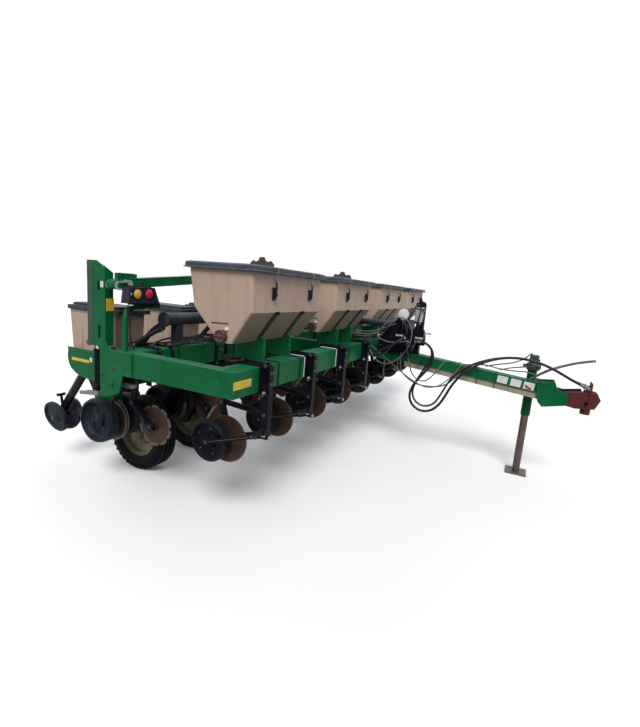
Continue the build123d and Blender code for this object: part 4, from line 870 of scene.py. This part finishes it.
meter_lid = [spun([(0, 104), (6, 102), (10, 88), (16, 84), (16, 40), (22, 36), (26, 20)],
                  (side * 44, 1610, -225), (side, 0, 0), 32) for side in (-1,)]
meter_lid += round_bolts((-50, 1610, -225), (-1, 0, 0), 95, 6, 6, 6)
in_rows("meter_covers", meter_lid, black)
seed_tubes = [tube([(0, 1600, -320), (0, 1606, -420), (0, 1604, -560), (0, 1598, -700), (0, 1588, -800)],
                   17, 8)]
in_rows("seed_tubes", seed_tubes, rubber)
hubs = [spun([(0, 34), (6, 34), (10, 26), (16, 22)], (side * 150, *GAUGE), (side, 0, 0), 20)
        for side in (-1, 1)]
hubs += [spun([(-2, 60), (3, 60), (5, 56), (5, 50), (2, 48), (-2, 48)], (side * 150, *GAUGE),
              (side, 0, 0), 32, ring=True) for side in (-1, 1)]
in_rows("gauge_wheel_hubs", hubs, gauge_rubber, "gauge_wheels")
in_rows("gauge_wheel_bolts",
        [b for side in (-1, 1) for b in round_bolts((side * 127, *GAUGE), (side, 0, 0), 84, 6, 7, 9)],
        dull_steel, "gauge_wheels")
in_rows("coulter_hub_bolts",
        [b for side in (-1, 1) for b in round_bolts((side * 22, *COULTER), (side, 0, 0), 30, 4, 6, 5)],
        worn_steel, "coulters")
seed_bolts = [b for side in (-1, 1)
              for b in round_bolts((side * 50, 1560, -720), (side, 0, 0), 20, 3, 5, 4)]
in_rows("seed_disc_bolts", seed_bolts, worn_steel)

LEAN = math.radians(13)


def closing_trim(side):
    """Hub cap and bolts of a closing wheel, which leans about the fore-and-aft line."""
    way = np.array((side * math.cos(LEAN), 0.0, -math.sin(LEAN)))
    centre = np.array((side * 70.0, *CLOSER))
    cap = spun([(0, 44), (4, 42), (7, 28), (12, 22), (14, 12)], centre + way * 23, way, 20)
    return [cap], [hexagon(centre + way * 36, way, 9, 6)]


in_rows("closing_wheel_caps", closing_trim(-1)[0] + closing_trim(1)[0], closing_rubber)
in_rows("closing_wheel_nuts", closing_trim(-1)[1] + closing_trim(1)[1], zinc)
closing_spring = [spring((0, 1930, -300), (0, 2150, -600), 22, 4, 12)]
in_rows("closing_springs", closing_spring, worn_steel)
grip = [spun([(0, 12), (3, 15), (17, 15), (20, 12)], (side * 38, 2290, -625), (-side, 0, 0), 12)
        for side in (-1, 1)]
in_rows("closing_grips", grip, rubber)

# ---------------------------------------------------------------- seed hoppers

stripe = [box((-164.5, 1650, -204), (-161.5, 1872, -178), 1)]
in_rows("panel_stripes", stripe, reflector)
in_rows("panel_plates", [box((-164.5, 1612, -190), (-161.5, 1640, -152), 1)], white_plate)
panel_edge = [tube([(-163, 1302, -96), (-163, 1922, -96), (-163, 1924, -200), (-163, 1896, -270),
                    (-163, 1800, -325), (-163, 1680, -344), (-163, 1304, -344)], 3, 6, 4)]
panel_edge += [hexagon((-162, y, -120), (-1, 0, 0), 9, 6) for y in (1360, 1600, 1860)]
in_rows("panel_edges", panel_edge, green)
half, front, back = 146, 1345, 1903
hopper_beads = [swept([(-half - 1, front + 6, 228), (-half + 6, front - 1, 228),
                       (half - 6, front - 1, 228), (half + 1, front + 6, 228), (half + 1, back - 6, 228),
                       (half - 6, back + 1, 228), (-half + 6, back + 1, 228), (-half - 1, back - 6, 228)],
                      circle(4.5, 8), loop=True, over=(0, 0, 1))]
hopper_beads += [box((side * (half - 6) - 4, y - 9, -80), (side * (half - 6) + 4, y + 9, 200), 3)
                 for side in (-1, 1) for y in (1480, 1770)]
in_rows("hopper_ribs", hopper_beads, tan)
lid_trim = [box((-120, 1345, 297), (120, 1353, 301), 2), box((-120, 1872, 297), (120, 1880, 301), 2),
            box((-118, 1356, 297), (-110, 1870, 301), 2), box((110, 1356, 297), (118, 1870, 301), 2),
            box((-34, 1916, 246), (34, 1927, 262), 4), box((-162, 1500, 242), (-157, 1560, 262), 2),
            box((-162, 1690, 242), (-157, 1750, 262), 2)]
in_rows("hopper_lid_trim", lid_trim, hopper_lid_black, "seed_hopper_lids")
hopper_latch = [tube([(0, 1905, 150), (0, 1916, 160), (0, 1922, 190), (0, 1920, 226)], 6, 6),
                box((-16, 1900, 132), (16, 1912, 158), 4)]
in_rows("hopper_latches", hopper_latch, rubber)

# ---------------------------------------------------------------- blower, valves and cables

fan_trim = [hexagon((-151, y, z), (-1, 0, 0), 9, 6)
            for y, z in ((-140, 130), (-290, 250), (-440, 256), (-488, 120), (-140, -20))]
fan_trim += [hexagon((x, y, 295), (0, 0, 1), 10, 8) for x in (-130, 130) for y in (-320, -430)]
piece("fan_bolts", fan_trim, dull_steel)
seams = [tube([(x, -118, -44), (x, -120, 148), (x, -290, 274), (x, -448, 279), (x, -506, -80)], 4, 6, 3)
         for x in (-151, 151)]
seams += [box((x - 2, -118, 150), (x + 2, -112, 152), 1) for x in (-100, 100)]
piece("fan_seams", seams, black)
piece("fan_plate", [spun([(0, 60), (2, 62), (3, 60)], (-158, -385, 366), (-1, 0, 0), 32)], white_plate)
piece("fan_plate_bracket",
      [box((-158, -440, 276), (-152, -428, 366), 1), box((-158, -342, 276), (-152, -330, 366), 1)], black)

coils = [spun([(0, 19), (22, 19), (26, 16), (48, 16), (52, 11), (60, 11)], (-205, y, 149), (0, 0, 1), 16)
         for y in (-405, -450, -495)]
coils += [spun([(0, 24), (30, 24), (36, 18), (70, 18), (74, 12)], (x, y, 214), (0, 0, 1), 16)
          for x, y in ((-176, -560), (-136, -604))]
coils += [box((-262, -552, 52), (-249, -500, 138), 4), box((-214, -650, 118), (-150, -635, 200), 4),
          box((-236, -400, 150), (-168, -384, 196), 4)]
piece("valve_coils", coils, black)
ACROSS, AHEAD = (-1, 0, 0), (0, -1, 0)
fittings = [spun([(0, 11), (8, 14), (18, 14), (22, 10), (60, 10), (64, 13), (84, 13)], at, AHEAD, 12)
            for at in ((-262, -346, 126), (-232, -559, 118), (-160, -635, 176))]
fittings += [spun([(0, 12), (8, 12), (10, 15), (18, 15), (20, 10), (28, 10)], (-249, y, z), ACROSS, 12)
             for y, z in ((-400, 70), (-450, 104), (-490, 66))]
piece("valve_fittings", fittings, galvanised)
bands = [spun([(z, 56), (z, 60), (z + 12, 60), (z + 12, 56)], (0, -535, 0), (0, 0, 1), 32, ring=True)
         for z in (276, 432)]
bands += [spun([(458, 52), (466, 56), (500, 56), (508, 50), (512, 40)], (0, -535, 0), (0, 0, 1), 28),
          spun([(512, 16), (530, 16), (534, 11), (552, 11)], (0, -535, 0), (0, 0, 1), 16)]
piece("canister_bands", bands, black)
piece("canister_bracket",
      [tube([(-90, -610, 214), (-90, -612, 300), (-90, -612, 492), (-70, -600, 510), (-20, -560, 520)], 8,
            8)], black)
short = [[(-277, -400, 70), (-318, -396, 60), (-340, -330, 10), (-320, -190, -70), (-270, -70, -100),
          (-240, -10, -70), (-236, 4, -60)], [(-277, -450, 104), (-330, -440, 100), (-356, -360, 40),
                                              (-340, -250, -110), (-290, -90, -140), (-250, -20, -120),
                                              (-246, 4, -116)], [(-277, -490, 66), (-320, -500, 20),
                                                                 (-330, -520, -70), (-290, -560, -140),
                                                                 (-180, -610, -165), (-74, -640, -168)],
         [(-205, -405, 208), (-210, -400, 262), (-190, -380, 300), (-140, -340, 306), (-110, -300, 296)],
         [(-205, -450, 208), (-214, -452, 290), (-200, -470, 380), (-150, -500, 452), (-80, -524, 486),
          (-40, -533, 486)],
         [(-176, -560, 286), (-176, -566, 340), (-150, -572, 400), (-100, -560, 452), (-50, -545, 470)],
         [(-136, -604, 286), (-136, -612, 330), (-120, -610, 392), (-80, -588, 420), (-40, -566, 430)],
         [(-262, -430, 126), (-262, -452, 126), (-262, -470, 170), (-240, -440, 250), (-170, -400, 288)],
         [(-330, 178, 20), (-330, 60, 40), (-320, -30, 60), (-300, -140, 120), (-220, -230, 220),
          (-152, -250, 236)], [(-360, 178, 6), (-360, 70, 34), (-340, -40, 36), (-300, -150, 70),
                               (-220, -210, 160), (-152, -214, 180)]]
piece("valve_hoses", [tube(eased(route, 6), 10, 8, 2) for route in short], hose_rubber)
piece("cable_loops", [tube(eased(route, 6), thick, 8, 2)
                      for route, thick in (([(-300, 60, 7), (-300, -10, 9), (-300, -62, -80),
                                             (-300, -182, -218), (-300, -326, -212), (-300, -464, -88),
                                             (-300, -540, 74), (-300, -532, 230), (-300, -462, 326),
                                             (-300, -358, 338), (-300, -238, 256), (-300, -150, 165),
                                             (-300, -136, 81), (-300, -262, 39), (-296, -400, 46),
                                             (-262, -500, 80)], 7),
                                           ([(-420, 178, 150), (-340, 66, 134), (-320, -57, 136),
                                             (-270, -152, 172), (-190, -260, 232), (-152, -300, 240)], 6),
                                           ([(-440, 178, 112), (-340, 38, 101), (-316, -84, 112),
                                             (-262, -160, 150), (-180, -220, 190), (-152, -226, 196)], 6),
                                           ([(-400, 178, 90), (-350, 60, 76), (-320, -60, 84),
                                             (-260, -130, 110), (-180, -160, 130), (-152, -166, 132)], 5),
                                           ([(-260, 62, 6), (-260, -12, 7), (-260, -76, -36),
                                             (-260, -286, -173), (-260, -441, -279), (-260, -590, -360),
                                             (-260, -746, -426), (-245, -886, -390), (-190, -982, -295),
                                             (-102, -1050, -196), (-86, -1072, -142), (-60, -1110, -132),
                                             (-40, -1200, -141)], 6),
                                           ([(-150, -480, -82), (-190, -505, -130), (-200, -535, -230),
                                             (-200, -569, -303), (-200, -647, -372), (-200, -748, -355),
                                             (-190, -834, -237), (-130, -873, -165), (-88, -890, -128),
                                             (-60, -930, -114), (-40, -1020, -122)], 7),
                                           ([(-140, -400, -70), (-150, -402, -200), (-150, -430, -320),
                                             (-150, -607, -423), (-150, -781, -429), (-150, -944, -388),
                                             (-130, -1039, -280), (-96, -1090, -205), (-85, -1120, -150),
                                             (-56, -1160, -136), (-36, -1260, -145)], 8))], cable_grey)
piece("canister_post_cover",
      [box((-44, -574, -148), (44, -516, 263), 5), box((-70, -640, 20), (-30, -500, 150), 8)], black)
piece("fan_pipe", [tube([(-111, -128, -85), (-111, -460, -85)], 22, 14, 2)], black)


def rear_run(side):
    """Cable clipped along the back of the rear toolbar."""
    return tube(eased([(side * x, 1126, z)
                       for x, z in ((200, -190), (800, -196), (1500, -188), (2100, -195), (2600, -190))],
                      6), 8, 6)


piece("rear_cables", [rear_run(side) for side in (-1, 1)], hose_rubber)
near_tank = [tube(eased([(-2705, 178, 120), (-2680, 178, 60), (-2600, 178, 24), (-2460, 178, 22)], 8), 8,
                  8),
             tube(eased([(-2705, 200, 120), (-2670, 206, 80), (-2560, 206, 50), (-2440, 200, 60)], 8), 6,
                  8)]
piece("tank_leads", near_tank, hose_rubber)
branch = [tube([(-2359, 1060, 153), (-2402, 1062, 142), (-2480, 1084, 102), (-2545, 1110, 66),
                (-2583, 1128, 40)], 18, 12)]
piece("branch_hose", branch, hose_rubber)


def harness(side):
    """Hoses that wander over the rear toolbar, each a line whose y and z swing by sines, and pale
    tubes down its back."""
    lines = []
    for k, (first, last, radius) in enumerate(((-2560, -1500, 8), (-2500, -1560, 6), (-2440, -1480, 10),
                                               (-2330, -1420, 6), (-2180, -1440, 7), (-2600, -1900, 6),
                                               (-1460, -500, 8), (-1300, -420, 6))):
        t = np.linspace(0, 1, 14)
        y = 1010 + 80 * np.sin(2.4 * k + 5.2 * t) + 22 * np.sin(9 * t + k)
        z = 12 + radius + 46 * np.sin(math.pi * t) * (0.55 + 0.45 * np.sin(1.7 * k + 6 * t))
        lines.append(tube(np.stack((side * -(first + (last - first) * t), y, z), -1), radius, 7, 3))
    drops = [tube([(side * x, 1100, 12), (side * x, 1132, 4), (side * x, 1138, -30),
                   (side * x, 1138, -210), (side * x, 1150, -260)], 7, 8, 4)
             for x in (1945, 1863, 1750, 1645, 1180, 1060, 930, 560)]
    return lines, drops


nets = [harness(side) for side in (-1, 1)]
piece("toolbar_harness", [p for net in nets for p in net[0]], hose_rubber)
piece("seed_drops", [p for net in nets for p in net[1]], seed_tube)
piece("branch_collar",
      [spun([(0, 18), (0, 24), (22, 24), (22, 18)], (-2391, 1061, 145), (-1, 0, -0.2), 20, ring=True)],
      dull_steel)

# ---------------------------------------------------------------- drawbar

HALF = 76
FALL = 0.094


def wrap(y, low, high, width, thick):
    """A flat band right round the drawbar at one station."""
    path = [(-HALF, y, low), (-HALF, y, high), (HALF, y, high), (HALF, y, low)]
    section = [(-width / 2, -1), (width / 2, -1), (width / 2, thick), (-width / 2, thick)]
    return swept(path, section, loop=True, over=(0, 1, 0))


def drawbar_top(y):
    """Height of the drawbar's upper face."""
    return -35 + FALL * y


piece("drawbar_bands", [wrap(y, drawbar_top(y) - 172, drawbar_top(y) + 1, 12, 3) for y in (-1263, -1444)],
      rubber)
piece("drawbar_collar", [wrap(-1048, drawbar_top(-1048) - 105, drawbar_top(-1048) + 1, 30, 4)], green)
signs = [bar((-HALF - 1, y, z), (-HALF - 1, y - 104, z - 10), 2, 78, 1)
         for y, z in ((-1468, -226), (-1602, -240), (-1730, -252))]
piece("drawbar_signs", signs, white_plate)
fits = [spun([(0, 14), (10, 14), (12, 18), (24, 18), (26, 12)], at, (-1, 0, 0), 12)
        for at in ((-HALF, -1850, -172), (-HALF, -1906, -200))]
piece("drawbar_fittings", fits, dull_steel)
piece("drawbar_handle",
      [tube([(-HALF - 4, -1750, -250), (-HALF - 16, -1764, -262), (-HALF - 18, -1790, -276),
             (-HALF - 6, -1806, -280)], 7, 8)], red_paint)
jack_head = [spun([(-112, 48.5), (-112, 62), (-104, 66), (-42, 66), (-34, 60), (-34, 48.5)],
                  (150, -1800, 0), (0, 0, 1), 28, ring=True), box((80, -1822, -104), (92, -1778, -44), 4),
             box((208, -1822, -104), (220, -1778, -44), 4), box((128, -1876, -100), (172, -1862, -46), 4),
             spun([(0, 22), (20, 22), (24, 18), (36, 18)], (150, -1735, -72), (0, 1, 0), 20)]
piece("jack_head", jack_head, dull_grey)
jack_cap = [spun([(0, 44), (4, 47), (26, 47), (32, 41), (34, 20)], (150, -1800, 22), (0, 0, 1), 28),
            spun([(0, 12), (16, 12), (20, 9), (34, 9)], (106, -1775, -4), (0, 0, 1), 12),
            spun([(0, 12), (22, 12), (26, 9)], (84, -1845, -40), (-1, 0, 0), 12),
            box((134, -1858, -30), (166, -1847, 12), 3)]
piece("jack_caps", jack_cap, dull_steel)
leads = [([(0, -1790, -190), (-20, -1860, -130), (-20, -1950, -62), (-10, -2080, 0), (0, -2210, 52),
           (0, -2341, 84)], 14),
         ([(106, -1775, 28), (104, -1776, 62), (80, -1760, 76), (20, -1700, 10), (-40, -1600, -40),
           (-60, -1480, -66), (-74, -1330, -110)], 7),
         ([(58, -1845, -40), (30, -1850, -40), (-10, -1800, -50), (-40, -1700, -70), (-60, -1580, -90),
           (-74, -1480, -130)], 7),
         ([(-36, -1100, -131), (-60, -1170, -122), (-84, -1320, -90), (-92, -1480, -120),
           (-70, -1640, -120), (-40, -1760, -110), (-20, -1850, -150)], 7)]
piece("drawbar_leads", [tube(eased(route, 6), thick, 8, 2) for route, thick in leads], cable_grey)
stop = [bar((-30, -2060, -258), (-30, -2260, -222), 34, 22, 4),
        spun([(0, 17), (24, 17), (28, 12)], (-58, -2322, -348), (-1, 0, 0), 16),
        spun([(0, 13), (20, 13), (24, 8)], (-30, -2388, -355), (0, -1, 0), 14)]
piece("hitch_stops", stop, black)

# ---------------------------------------------------------------- world, floor and lights

def seen_share(tree):
    """1 for rays that leave the camera or a mirror or have passed through glass, 0 for light that
    is scattered."""
    paths = node(tree, "ShaderNodeLightPath")
    direct = times(tree, paths.outputs["Is Camera Ray"], paths.outputs["Is Transmission Ray"], "MAXIMUM")
    return times(tree, direct, paths.outputs["Is Glossy Ray"], "MAXIMUM")


def lay_floor():
    """A level floor, pale where it is seen and darker in the light that it throws back."""
    material = bpy.data.materials.new("floor")
    material.use_nodes = True
    shader = material.node_tree.nodes["Principled BSDF"]
    tone = blend(material.node_tree, seen_share(material.node_tree), (0.09, 0.09, 0.09), (0.86, 0.86, 0.86))
    material.node_tree.links.new(tone, shader.inputs["Base Color"])
    shader.inputs["Roughness"].default_value = 0.9
    shader.inputs["Specular IOR Level"].default_value = 0.0
    mesh = bpy.data.meshes.new("floor")
    mesh.from_pydata([(-90, -90, 0), (90, -90, 0), (90, 90, 0), (-90, 90, 0)], [], [(0, 1, 2, 3)])
    mesh.materials.append(material)
    floor = bpy.data.objects.new("floor", mesh)
    SCENE.collection.objects.link(floor)


def light_world(strength):
    """White where it is seen, softer where it lights."""
    world = bpy.data.worlds.new("backdrop")
    SCENE.world = world
    world.use_nodes = True
    tree = world.node_tree
    tree.nodes.clear()
    lit = node(tree, "ShaderNodeBackground", {"Color": (0.93, 0.96, 1.0, 1.0), "Strength": strength})
    shown = node(tree, "ShaderNodeBackground", {"Color": (1.0, 1.0, 1.0, 1.0), "Strength": 1.0})
    mixed = node(tree, "ShaderNodeMixShader", {0: seen_share(tree), 1: lit.outputs[0], 2: shown.outputs[0]})
    node(tree, "ShaderNodeOutputWorld", {"Surface": mixed.outputs[0]})


def sun(name, place, strength, spread, colour):
    """A distant light that shines from a place towards the origin."""
    data = bpy.data.lights.new(name, "SUN")
    data.energy = strength
    data.angle = math.radians(spread)
    data.color = colour
    light = bpy.data.objects.new(name, data)
    light.rotation_euler = Vector(place).to_track_quat("Z", "Y").to_euler()
    SCENE.collection.objects.link(light)


lay_floor()
light_world(0.72)
sun("key", (-5.6, -2.6, 6.5), 2.3, 25.0, (1.0, 0.98, 0.95))
sun("fill", (3.0, 7.0, 6.0), 0.5, 40.0, (0.96, 0.98, 1.0))
